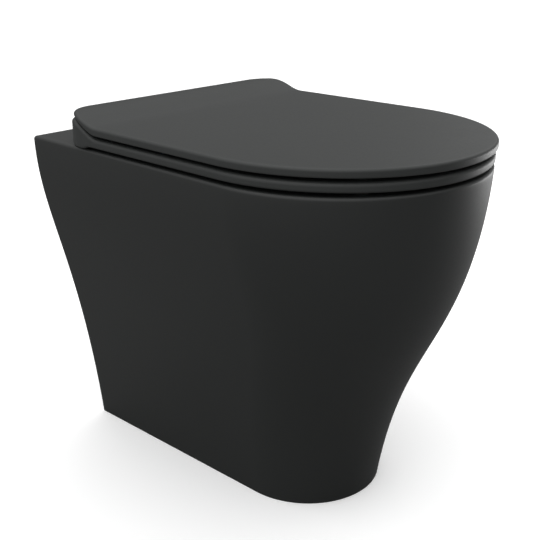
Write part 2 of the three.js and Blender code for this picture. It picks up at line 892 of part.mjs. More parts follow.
for (const { name, sign } of sides) {
  addMesh(`floor_bracket_${name}`, "stainless", floorBracket(sign));
  addMesh(`bracket_pad_${name}`, "rubber", bracketPad(sign));
  addMesh(`rubber_bung_${name}`, "rubber", atFixing(rubberBung(), sign));
  addMesh(`bung_nut_${name}`, "dark_plastic", atFixing(bungNut(), sign));
  addMesh(`base_gasket_${name}`, "clear_rubber", atFixing(baseGasket(), sign));
  addMesh(`base_plate_${name}`, "stainless", atFixing(basePlate(), sign));
  addMesh(`hinge_post_${name}`, "stainless", atFixing(hingePost(), sign));
  addMesh(`hinge_block_${name}`, "dark_plastic", hingeBlock(sign));
  addMesh(`hinge_pin_${name}`, "stainless", hingePin(sign));
  addMesh(`latch_clip_${name}`, "stainless", latchClip(sign));
  addMesh(`release_button_${name}`, "stainless", releaseButton(sign));
  addMesh(`seat_bush_${name}`, "white_plastic", seatBush(sign));
  addMesh(`lid_bush_${name}`, "white_plastic", lidBush(sign));
  for (const [where, place] of Object.entries(bufferPlaces)) {
    const seatBuffer = buffer(place, sign, 7, rimHeight + touchGap, seatBottom - touchGap);
    const lidBuffer = buffer(place, sign, 6, seatTop + touchGap, lidTop - lidPlate - touchGap);
    addMesh(`seat_buffer_${where}_${name}`, "clear_rubber", seatBuffer);
    addMesh(`lid_buffer_${where}_${name}`, "clear_rubber", lidBuffer);
  }
}

export default toilet;
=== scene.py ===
"""Looks of a floor-standing, back-to-wall WC pan with its soft-close seat and lid.

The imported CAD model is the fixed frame. The pan, seat, lid and fittings that show are built again here
as fine surfaces on the same sizes, and every piece gets a procedural material. Sizes are in
millimetres, in the frame's axes: +Z up, the nose of the bowl towards -Y, the wall on the +Y side.
"""

import json
import logging
import math
from collections.abc import Callable, Sequence
from dataclasses import dataclass, field
from enum import Enum

import bmesh
import bpy
import numpy as np
from mathutils import Matrix, Vector
from mathutils.geometry import delaunay_2d_cdt

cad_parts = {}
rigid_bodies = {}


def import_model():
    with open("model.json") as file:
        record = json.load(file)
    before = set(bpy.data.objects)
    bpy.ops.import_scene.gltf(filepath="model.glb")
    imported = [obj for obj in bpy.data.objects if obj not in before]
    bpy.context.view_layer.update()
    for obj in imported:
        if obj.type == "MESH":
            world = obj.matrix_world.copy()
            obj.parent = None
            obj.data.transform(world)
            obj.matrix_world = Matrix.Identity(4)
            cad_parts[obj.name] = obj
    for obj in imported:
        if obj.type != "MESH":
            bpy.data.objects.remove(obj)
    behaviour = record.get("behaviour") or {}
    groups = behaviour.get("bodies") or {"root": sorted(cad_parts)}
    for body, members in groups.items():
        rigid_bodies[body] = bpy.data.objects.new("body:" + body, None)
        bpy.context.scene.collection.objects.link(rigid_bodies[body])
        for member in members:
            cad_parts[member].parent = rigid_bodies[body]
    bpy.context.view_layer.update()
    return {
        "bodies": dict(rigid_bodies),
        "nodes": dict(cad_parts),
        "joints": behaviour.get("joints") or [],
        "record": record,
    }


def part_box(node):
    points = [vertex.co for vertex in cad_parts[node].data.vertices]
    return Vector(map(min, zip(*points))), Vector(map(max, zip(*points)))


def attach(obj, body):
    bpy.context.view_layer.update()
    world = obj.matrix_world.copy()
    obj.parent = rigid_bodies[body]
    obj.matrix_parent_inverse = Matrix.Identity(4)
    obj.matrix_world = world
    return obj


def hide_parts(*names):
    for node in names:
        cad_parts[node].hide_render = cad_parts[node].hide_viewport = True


Array = np.ndarray
Colour = tuple[float, float, float]

METRES = 0.001
log = logging.getLogger("toilet")


# ------------------------------------------------------------------------------------- helpers
class Side(Enum):
    """The two hands of the object, seen by someone who stands in front of it."""

    LEFT = -1
    RIGHT = 1

    @property
    def word(self) -> str:
        """The side's part of a node's name."""
        return self.name.lower()


@dataclass(frozen=True)
class Datum:
    """Places that the frame gives, in millimetres."""

    wall_y: float
    rim_z: float
    hinge_y: float
    hinge_z: float
    nose_y: float

    @classmethod
    def from_frame(cls, frame: dict) -> "Datum":
        """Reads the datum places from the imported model.


        Returns:
            The datum of the wall plane, rim, hinge axis and lid nose.
        """
        pan_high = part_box("pan")[1]
        joint = next(j for j in frame["joints"] if j["name"] == "seat_hinge")
        return cls(
            wall_y=pan_high.y / METRES,
            rim_z=pan_high.z / METRES,
            hinge_y=joint["pos_m"][1] / METRES,
            hinge_z=joint["pos_m"][2] / METRES,
            nose_y=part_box("lid")[0].y / METRES,
        )

    def from_wall(self, distance: Array | float) -> Array | float:
        """The y of a place that stands that far out from the wall plane."""
        return self.wall_y - distance


def smoothstep(value: Array, low: float, high: float) -> Array:
    """0 below low, 1 above high and the cubic 3t^2 - 2t^3 between them."""
    t = np.clip((np.asarray(value, float) - low) / (high - low), 0.0, 1.0)
    return t * t * (3.0 - 2.0 * t)


def arc(centre: tuple[float, float], radii: tuple[float, float], start: float, end: float, steps: int) -> Array:
    """Points of an elliptic arc: centre + (rx cos a, ry sin a) for angles from start to end.

    Args:
        centre: The arc's centre.
        radii: Half the width and half the height of the whole ellipse.
        start: First angle in degrees.
        end: Last angle in degrees.
        steps: Number of equal steps between them.

    Returns:
        An array of steps + 1 points.
    """
    angle = np.radians(np.linspace(start, end, steps + 1))
    return np.stack([centre[0] + radii[0] * np.cos(angle), centre[1] + radii[1] * np.sin(angle)], -1)


def line(start: Sequence[float], end: Sequence[float], steps: int) -> Array:
    """Points at equal steps on the straight line from start to end."""
    t = np.linspace(0.0, 1.0, steps + 1)[:, None]
    return (1.0 - t) * np.asarray(start, float) + t * np.asarray(end, float)


def rounded_drop(distance: Array, radius: float) -> Array:
    """How far a rounded edge lies below the flat face, at a distance in from the edge.

    The section is a quarter circle: radius - sqrt(radius^2 - (radius - distance)^2).
    """
    inside = np.clip(radius - np.asarray(distance, float), 0.0, radius)
    return radius - np.sqrt(np.maximum(radius**2 - inside**2, 0.0))


def edge_insets(radius: float, steps: int) -> Array:
    """Distances in from an edge whose quarter-round section has equal angle steps."""
    return radius * (1.0 - np.cos(np.linspace(0.0, math.pi / 2, steps + 1)))


def signed_area(loop: Array) -> float:
    """Twice the area inside a closed loop, positive when it runs anticlockwise."""
    following = np.roll(loop, -1, axis=0)
    return float(np.sum(loop[:, 0] * following[:, 1] - following[:, 0] * loop[:, 1]))


def inset_loop(loop: Array, distance: float) -> Array:
    """A closed loop moved along its inward normals.

    The normal at a point is at right angles to the line through its two neighbours.
    """
    along = np.roll(loop, -1, axis=0) - np.roll(loop, 1, axis=0)
    along /= np.maximum(np.linalg.norm(along, axis=1, keepdims=True), 1e-9)
    inward = np.stack([-along[:, 1], along[:, 0]], -1) * np.sign(signed_area(loop))
    return loop + inward * distance


def inside_loop(points: Array, loop: Array) -> Array:
    """Which points lie inside a closed loop, by counting how often a ray to +X crosses it."""
    x, y = points[:, 0, None], points[:, 1, None]
    x0, y0 = loop[None, :, 0], loop[None, :, 1]
    x1, y1 = np.roll(x0, -1, axis=1), np.roll(y0, -1, axis=1)
    spans = (y0 > y) != (y1 > y)
    height = np.where(np.abs(y1 - y0) < 1e-12, 1e-12, y1 - y0)
    crossing = x0 + (y - y0) * (x1 - x0) / height
    return (np.sum(spans & (x < crossing), axis=1) % 2).astype(bool)


@dataclass
class Skin:
    """A closed surface that is put together from patches and welded where they meet."""

    points: list[Array] = field(default_factory=list)
    quads: list[Array] = field(default_factory=list)
    triangles: list[Array] = field(default_factory=list)
    count: int = 0

    def add_points(self, points: Array) -> int:
        """Adds points and returns the number of the first one."""
        first = self.count
        self.points.append(np.asarray(points, float).reshape(-1, 3))
        self.count += len(self.points[-1])
        return first

    def add_grid(self, grid: Array, closed: bool = False) -> None:
        """Adds a patch: face (i, j) joins points (i, j), (i, j+1), (i+1, j+1) and (i+1, j).

        Args:
            grid: Points as rows by columns by xyz.
            closed: Whether each row's last point joins its first.
        """
        rows, columns = grid.shape[:2]
        first = self.add_points(grid)
        number = first + np.arange(rows * columns).reshape(rows, columns)
        if closed:
            number = np.concatenate([number, number[:, :1]], axis=1)
        corners = (number[:-1, :-1], number[:-1, 1:], number[1:, 1:], number[1:, :-1])
        self.quads.append(np.stack(corners, -1).reshape(-1, 4))

    def add_cap(self, ring: Array, tip: Sequence[float]) -> None:
        """Closes a ring with triangles to one point."""
        first = self.add_points(ring)
        pole = self.add_points(np.asarray([tip], float))
        number = first + np.arange(len(ring))
        tips = np.full(len(ring), pole)
        self.triangles.append(np.stack([number, np.roll(number, -1), tips], -1))

    def add_triangles(self, points: Array, triangles: Array) -> None:
        """Adds a patch of triangles with its own points."""
        self.triangles.append(self.add_points(points) + np.asarray(triangles, int))

    def build(self, name: str, sharp: float = 38.0) -> bpy.types.Object:
        """Welds the patches, turns the faces outwards and makes the object.

        Args:
            name: The piece's name.
            sharp: Edges between faces at more than this many degrees are drawn sharp.

        Returns:
            The new object, at the origin, in metres.
        """
        points, place = np.unique(np.round(np.concatenate(self.points), 4), axis=0, return_inverse=True)
        place = place.reshape(-1)
        quads = place[np.concatenate(self.quads)] if self.quads else np.zeros((0, 4), int)
        doubled = [quads[:, k] == quads[:, (k + 1) % 4] for k in range(4)]
        whole = ~np.any(doubled, axis=0)
        loose = [place[t] for t in self.triangles]
        for k in range(4):
            only = doubled[k] & ~np.any([doubled[m] for m in range(4) if m != k], axis=0)
            loose.append(quads[only][:, [m for m in range(4) if m != k]])
        thin = np.concatenate(loose) if loose else np.zeros((0, 3), int)
        real = (thin[:, 0] != thin[:, 1]) & (thin[:, 1] != thin[:, 2]) & (thin[:, 0] != thin[:, 2])
        mesh = bpy.data.meshes.new(name)
        faces = quads[whole].tolist() + thin[real].tolist()
        mesh.from_pydata((points * METRES).tolist(), [], faces)
        turned = bmesh.new()
        turned.from_mesh(mesh)
        bmesh.ops.recalc_face_normals(turned, faces=turned.faces)
        turned.to_mesh(mesh)
        turned.free()
        mesh.polygons.foreach_set("use_smooth", np.ones(len(mesh.polygons), bool))
        mesh.set_sharp_from_angle(angle=math.radians(sharp))
        mesh.update()
        made = bpy.data.objects.new(name, mesh)
        bpy.context.scene.collection.objects.link(made)
        return made


def bevel(piece: bpy.types.Object, width: float, segments: int = 2, angle: float = 50.0) -> None:
    """Rounds a piece's sharp edges with a live Bevel modifier.

    Args:
        piece: The piece.
        width: Width of the rounding in millimetres.
        segments: Faces across the rounding.
        angle: Only edges sharper than this many degrees are rounded.
    """
    rounding = piece.modifiers.new("rounded edges", "BEVEL")
    rounding.width = width * METRES
    rounding.segments = segments
    rounding.limit_method = "ANGLE"
    rounding.angle_limit = math.radians(angle)
    rounding.harden_normals = False


# ------------------------------------------------------------------------------------- shader groups
class Nodes:
    """Small helper that adds nodes to a tree and joins them."""

    def __init__(self, tree: bpy.types.NodeTree) -> None:
        """Empties the tree and keeps it."""
        self.tree = tree
        tree.nodes.clear()

    def add(self, kind: str, **values: object) -> bpy.types.Node:
        """Adds a node and sets its properties and unlinked inputs.

        Args:
            kind: The node's type name.
            values: Properties by name, or input values by socket name with spaces as underscores.

        Returns:
            The new node.
        """
        node = self.tree.nodes.new(kind)
        for name, value in values.items():
            if hasattr(node, name):
                setattr(node, name, value)
            else:
                node.inputs[name.replace("_", " ")].default_value = value
        return node

    def link(self, source: bpy.types.NodeSocket, target: bpy.types.NodeSocket) -> None:
        """Joins an output to an input."""
        self.tree.links.new(source, target)

    def math(self, operation: str, first: object, second: object) -> bpy.types.NodeSocket:
        """A Math node's result, each side of it a socket or a number."""
        node = self.tree.nodes.new("ShaderNodeMath")
        node.operation = operation
        for place, value in enumerate((first, second)):
            if isinstance(value, bpy.types.NodeSocket):
                self.link(value, node.inputs[place])
            else:
                node.inputs[place].default_value = value
        return node.outputs[0]


def new_group(name: str, inputs: dict[str, float | Colour], outputs: Sequence[str]) -> bpy.types.NodeTree:
    """Makes an empty shader node group with named sockets.

    Args:
        name: The group's name.
        inputs: Each input's name and default; a number is a value and a triple is a colour.
        outputs: Names of the outputs; one that ends in colour is a colour, the others are values.

    Returns:
        The group's node tree.
    """
    group = bpy.data.node_groups.new(name, "ShaderNodeTree")
    for socket_name, default in inputs.items():
        kind = "NodeSocketFloat" if isinstance(default, (int, float)) else "NodeSocketColor"
        socket = group.interface.new_socket(socket_name, in_out="INPUT", socket_type=kind)
        socket.default_value = default if isinstance(default, (int, float)) else (*default, 1.0)
    for socket_name in outputs:
        kind = "NodeSocketColor" if socket_name.endswith("colour") else "NodeSocketFloat"
        group.interface.new_socket(socket_name, in_out="OUTPUT", socket_type=kind)
    return group


def object_space_group() -> bpy.types.NodeTree:
    """Cloudy tone: large soft patches that mix two colours and two roughnesses.

    Two noises of different scales are added, and the sum steers both mixes.
    """
    group = new_group(
        "cloudy_tone",
        {
            "Light colour": (0.05, 0.05, 0.05),
            "Dark colour": (0.03, 0.03, 0.03),
            "Smooth": 0.4,
            "Rough": 0.5,
            "Patch scale": 9.0,
            "Fleck scale": 420.0,
            "Fleck share": 0.3,
        },
        ["Tone colour", "Roughness"],
    )
    nodes = Nodes(group)
    given = nodes.add("NodeGroupInput").outputs
    result = nodes.add("NodeGroupOutput").inputs
    place = nodes.add("ShaderNodeTexCoord").outputs["Object"]
    patch = nodes.add("ShaderNodeTexNoise", Detail=3.0, Roughness=0.55)
    fleck = nodes.add("ShaderNodeTexNoise", Detail=2.0, Roughness=0.6)
    for noise, scale in ((patch, "Patch scale"), (fleck, "Fleck scale")):
        nodes.link(place, noise.inputs["Vector"])
        nodes.link(given[scale], noise.inputs["Scale"])
    flecks = nodes.math("MULTIPLY", fleck.outputs["Fac"], given["Fleck share"])
    spread = nodes.math("SUBTRACT", 1.0, given["Fleck share"])
    patches = nodes.math("MULTIPLY", patch.outputs["Fac"], spread)
    share = nodes.math("ADD", patches, flecks)
    steep = nodes.add("ShaderNodeMapRange", interpolation_type="SMOOTHSTEP")
    steep.inputs["From Min"].default_value = 0.35
    steep.inputs["From Max"].default_value = 0.65
    nodes.link(share, steep.inputs["Value"])
    mix = nodes.add("ShaderNodeMix", data_type="RGBA")
    nodes.link(steep.outputs["Result"], mix.inputs["Factor"])
    nodes.link(given["Dark colour"], mix.inputs[6])
    nodes.link(given["Light colour"], mix.inputs[7])
    nodes.link(mix.outputs[2], result["Tone colour"])
    rough = nodes.add("ShaderNodeMapRange")
    nodes.link(steep.outputs["Result"], rough.inputs["Value"])
    nodes.link(given["Smooth"], rough.inputs["To Min"])
    nodes.link(given["Rough"], rough.inputs["To Max"])
    nodes.link(rough.outputs["Result"], result["Roughness"])
    return group


def skin_height_group() -> bpy.types.NodeTree:
    """Height of a sprayed or fired skin: broad ripples plus a fine grain.

    Height is ripple share x (low-frequency noise) + (1 - ripple share) x (high-frequency noise).
    """
    group = new_group(
        "skin_height",
        {"Ripple scale": 60.0, "Grain scale": 900.0, "Ripple share": 0.5},
        ["Height", "Grain"],
    )
    nodes = Nodes(group)
    given = nodes.add("NodeGroupInput").outputs
    result = nodes.add("NodeGroupOutput").inputs
    place = nodes.add("ShaderNodeTexCoord").outputs["Object"]
    ripple = nodes.add("ShaderNodeTexNoise", Detail=1.0, Roughness=0.4)
    grain = nodes.add("ShaderNodeTexNoise", Detail=3.0, Roughness=0.65)
    for noise, scale in ((ripple, "Ripple scale"), (grain, "Grain scale")):
        nodes.link(place, noise.inputs["Vector"])
        nodes.link(given[scale], noise.inputs["Scale"])
    wide = nodes.math("MULTIPLY", ripple.outputs["Fac"], given["Ripple share"])
    rest = nodes.math("SUBTRACT", 1.0, given["Ripple share"])
    fine = nodes.math("MULTIPLY", grain.outputs["Fac"], rest)
    nodes.link(nodes.math("ADD", wide, fine), result["Height"])
    nodes.link(grain.outputs["Fac"], result["Grain"])
    return group


def brushed_group() -> bpy.types.NodeTree:
    """Brushed lines: a noise stretched along X, as height and as roughness from smooth to rough."""
    group = new_group(
        "brushed_lines",
        {"Line scale": 900.0, "Smooth": 0.25, "Rough": 0.4},
        ["Height", "Roughness"],
    )
    nodes = Nodes(group)
    given = nodes.add("NodeGroupInput").outputs
    result = nodes.add("NodeGroupOutput").inputs
    place = nodes.add("ShaderNodeTexCoord").outputs["Object"]
    stretch = nodes.add("ShaderNodeMapping")
    stretch.inputs["Scale"].default_value = (0.04, 1.0, 1.0)
    nodes.link(place, stretch.inputs["Vector"])
    noise = nodes.add("ShaderNodeTexNoise", Detail=4.0, Roughness=0.6)
    nodes.link(stretch.outputs["Vector"], noise.inputs["Vector"])
    nodes.link(given["Line scale"], noise.inputs["Scale"])
    nodes.link(noise.outputs["Fac"], result["Height"])
    rough = nodes.add("ShaderNodeMapRange")
    nodes.link(noise.outputs["Fac"], rough.inputs["Value"])
    nodes.link(given["Smooth"], rough.inputs["To Min"])
    nodes.link(given["Rough"], rough.inputs["To Max"])
    nodes.link(rough.outputs["Result"], result["Roughness"])
    return group


# ------------------------------------------------------------------------------------- finishes
class Family(Enum):
    """How a finish's skin is made."""

    SKIN = "skin"
    BRUSHED = "brushed"


@dataclass(frozen=True)
class Finish:
    """One material of the object, as its maker would specify it."""

    slot: str
    light: Colour
    dark: Colour
    smooth: float
    rough: float
    family: Family = Family.SKIN
    metallic: float = 0.0
    coat: float = 0.0
    coat_roughness: float = 0.3
    specular: float = 0.5
    ior: float = 1.5
    patch_scale: float = 9.0
    fleck_scale: float = 420.0
    fleck_share: float = 0.3
    ripple_scale: float = 60.0
    grain_scale: float = 900.0
    ripple_share: float = 0.5
    bump_height: float = 0.05
    bump_strength: float = 0.3
    subsurface: float = 0.0

    def material(self, library: "Library") -> bpy.types.Material:
        """Builds the material on the shared groups.

        Args:
            library: Holds the shared shader groups.

        Returns:
            The new material.
        """
        material = bpy.data.materials.new(self.slot)
        material.use_nodes = True
        nodes = Nodes(material.node_tree)
        shader = nodes.add("ShaderNodeBsdfPrincipled")
        shader.inputs["Metallic"].default_value = self.metallic
        shader.inputs["Coat Weight"].default_value = self.coat
        shader.inputs["Coat Roughness"].default_value = self.coat_roughness
        shader.inputs["Specular IOR Level"].default_value = self.specular
        shader.inputs["IOR"].default_value = self.ior
        shader.inputs["Subsurface Weight"].default_value = self.subsurface
        output = nodes.add("ShaderNodeOutputMaterial")
        nodes.link(shader.outputs["BSDF"], output.inputs["Surface"])
        tone = nodes.add("ShaderNodeGroup", node_tree=library.tone)
        tone.inputs["Light colour"].default_value = (*self.light, 1.0)
        tone.inputs["Dark colour"].default_value = (*self.dark, 1.0)
        tone.inputs["Smooth"].default_value = self.smooth
        tone.inputs["Rough"].default_value = self.rough
        tone.inputs["Patch scale"].default_value = self.patch_scale
        tone.inputs["Fleck scale"].default_value = self.fleck_scale
        tone.inputs["Fleck share"].default_value = self.fleck_share
        nodes.link(tone.outputs["Tone colour"], shader.inputs["Base Color"])
        bump = nodes.add("ShaderNodeBump")
        bump.inputs["Distance"].default_value = self.bump_height * METRES
        bump.inputs["Strength"].default_value = self.bump_strength
        if self.family is Family.BRUSHED:
            lines = nodes.add("ShaderNodeGroup", node_tree=library.brushed)
            lines.inputs["Smooth"].default_value = self.smooth
            lines.inputs["Rough"].default_value = self.rough
            nodes.link(lines.outputs["Roughness"], shader.inputs["Roughness"])
            nodes.link(lines.outputs["Height"], bump.inputs["Height"])
        else:
            skin = nodes.add("ShaderNodeGroup", node_tree=library.skin)
            skin.inputs["Ripple scale"].default_value = self.ripple_scale
            skin.inputs["Grain scale"].default_value = self.grain_scale
            skin.inputs["Ripple share"].default_value = self.ripple_share
            nodes.link(tone.outputs["Roughness"], shader.inputs["Roughness"])
            nodes.link(skin.outputs["Height"], bump.inputs["Height"])
        nodes.link(bump.outputs["Normal"], shader.inputs["Normal"])
        return material


FINISHES = (
    Finish(
        slot="black_ceramic",
        light=(0.0146, 0.0162, 0.0156),
        dark=(0.0134, 0.0149, 0.0143),
        smooth=0.50,
        rough=0.54,
        patch_scale=6.0,
        fleck_share=0.6,
        ripple_scale=45.0,
        grain_scale=1400.0,
        ripple_share=0.75,
        bump_height=0.06,
        bump_strength=0.25,
    ),
    Finish(
        slot="black_duroplast",
        light=(0.0250, 0.0272, 0.0264),
        dark=(0.0238, 0.0259, 0.0251),
        smooth=0.50,
        rough=0.54,
        specular=0.42,
        patch_scale=11.0,
        fleck_share=0.6,
        ripple_scale=160.0,
        grain_scale=2200.0,
        ripple_share=0.25,
        bump_height=0.04,
        bump_strength=0.3,
    ),
    Finish(
        slot="dark_plastic",
        light=(0.030, 0.031, 0.031),
        dark=(0.020, 0.020, 0.021),
        smooth=0.42,
        rough=0.6,
        grain_scale=1500.0,
        ripple_share=0.2,
        bump_height=0.05,
        bump_strength=0.5,
    ),
    Finish(
        slot="white_plastic",
        light=(0.80, 0.80, 0.77),
        dark=(0.72, 0.72, 0.68),
        smooth=0.3,
        rough=0.42,
        grain_scale=700.0,
        ripple_share=0.6,
        bump_height=0.05,
        bump_strength=0.3,
        subsurface=0.05,
    ),
    Finish(
        slot="rubber",
        light=(0.022, 0.022, 0.022),
        dark=(0.012, 0.012, 0.012),
        smooth=0.7,
        rough=0.9,
        grain_scale=900.0,
        ripple_share=0.3,
        bump_height=0.08,
        bump_strength=0.6,
    ),
    Finish(
        slot="clear_rubber",
        light=(0.62, 0.63, 0.60),
        dark=(0.52, 0.53, 0.51),
        smooth=0.35,
        rough=0.5,
        grain_scale=900.0,
        ripple_share=0.4,
        bump_height=0.05,
        bump_strength=0.3,
        subsurface=0.2,
    ),
    Finish(
        slot="stainless",
        light=(0.62, 0.62, 0.63),
        dark=(0.52, 0.52, 0.54),
        smooth=0.22,
        rough=0.38,
        family=Family.BRUSHED,
        metallic=1.0,
        bump_height=0.02,
        bump_strength=0.35,
    ),
)


class Library:
    """The shared shader groups and one material for each of the record's slots."""

    def __init__(self, record: dict) -> None:
        """Builds the groups and materials.

        Args:
            record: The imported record, which says which slot each node takes.
        """
        self.tone = object_space_group()
        self.skin = skin_height_group()
        self.brushed = brushed_group()
        self.materials = {finish.slot: finish.material(self) for finish in FINISHES}
        self.slots = {part["node"]: part["material_slot"] for part in record["subparts"]}

    def dress(self, piece: bpy.types.Object, slot: str) -> None:
        """Gives a new piece the material of a slot."""
        piece.data.materials.clear()
        piece.data.materials.append(self.materials[slot])

    def dress_node(self, name: str, node: bpy.types.Object) -> None:
        """Gives a carried-over CAD node the material of its own slot."""
        material = self.materials[self.slots[name]]
        if not node.material_slots:
            node.data.materials.append(material)
        for place in node.material_slots:
            place.material = material


# ------------------------------------------------------------------------------------- plan shapes
def d_loop(
    datum: Datum,
    half_width: float,
    reach: float,
    rear: float,
    flare: float = 0.0,
    nose_ratio: float = 1.0,
    corner: float = 0.0,
    counts: tuple[int, int, int] = (50, 96, 64),
) -> Array:
    """A D-shaped plan: two sides that flare forwards, a half-ellipse nose and a straight rear.

    At a distance s from the wall the sides stand half_width + flare x s from the middle. The nose is
    half an ellipse, nose_ratio times as long as its half width.

    Args:
        datum: The frame's places.
        half_width: Half the width at the wall plane.
        reach: How far the nose stands from the wall plane.
        rear: How far the rear edge stands from the wall plane.
        flare: Growth of the half width per millimetre forwards.
        nose_ratio: Length of the nose over its half width.
        corner: Radius of the two rear corners.
        counts: Points on each side, on the nose and on the rear edge.

    Returns:
        The closed loop from the rear left corner, round the nose and back along the rear edge.
    """
    sides, nose_count, rear_count = counts
    nose_half = (half_width + flare * reach) / (1.0 + flare * nose_ratio)
    nose_length = nose_half * nose_ratio
    nose_y = datum.from_wall(reach - nose_length)
    rear_y = datum.from_wall(rear)
    rear_half = half_width + flare * rear
    start = rear_y - corner
    left = line((-rear_half, start), (-nose_half, nose_y), sides)
    nose = arc((0.0, nose_y), (nose_half, nose_length), 180.0, 360.0, nose_count)
    right = line((nose_half, nose_y), (rear_half, start), sides)
    back = line((rear_half - corner, rear_y), (-rear_half + corner, rear_y), rear_count)
    if corner <= 0.0:
        return np.concatenate([left[:-1], nose[:-1], right[:-1], back[:-1]])
    right_corner = arc((rear_half - corner, start), (corner, corner), 0.0, 90.0, 12)
    left_corner = arc((-rear_half + corner, start), (corner, corner), 90.0, 180.0, 12)
    return np.concatenate([left[:-1], nose[:-1], right[:-1], right_corner[:-1], back[:-1], left_corner[:-1]])


def lift(loop: Array, z: Array | float) -> Array:
    """A plan loop as points in space at a height, or at one height for each point."""
    return np.concatenate([loop, np.broadcast_to(np.asarray(z, float), len(loop))[:, None]], -1)


@dataclass(frozen=True)
class Hump:
    """The smooth step that raises the rear of the seat and lid, seen from the side."""

    start: float = 83.0
    end: float = 131.0

    def share(self, datum: Datum, y: Array) -> Array:
        """0 in front of the slope, 1 behind it, by a smoothstep of the distance from the wall."""
        return 1.0 - smoothstep(datum.wall_y - np.asarray(y, float), self.start, self.end)


LID_HUMP = Hump()
SEAT_HUMP = Hump(82.0, 129.0)


# ------------------------------------------------------------------------------------- the pan
@dataclass(frozen=True)
class SlopeCurve:
    """One cubic curve of the skirt: a value at the foot, two handles and a value at the rim."""

    foot: float
    foot_handle: tuple[float, float]
    rim_handle: tuple[float, float]
    rim: float

    def at(self, share: Array) -> Array:
        """The curve's value at a share of the rim height, from a dense table of the curve itself."""
        t = np.linspace(0.0, 1.0, 801)
        weights = ((1 - t) ** 3, 3 * (1 - t) ** 2 * t, 3 * (1 - t) * t**2, t**3)
        values = (self.foot, self.foot_handle[0], self.rim_handle[0], self.rim)
        heights = (0.0, self.foot_handle[1], self.rim_handle[1], 1.0)
        value = sum(w * v for w, v in zip(weights, values))
        height = sum(w * h for w, h in zip(weights, heights))
        return np.interp(share, height, value)


@dataclass(frozen=True)
class BowlLevel:
    """One level of the bowl's inside: height, half width, and distances of its ends from the wall."""

    z: float
    half_width: float
    rear: float
    front: float


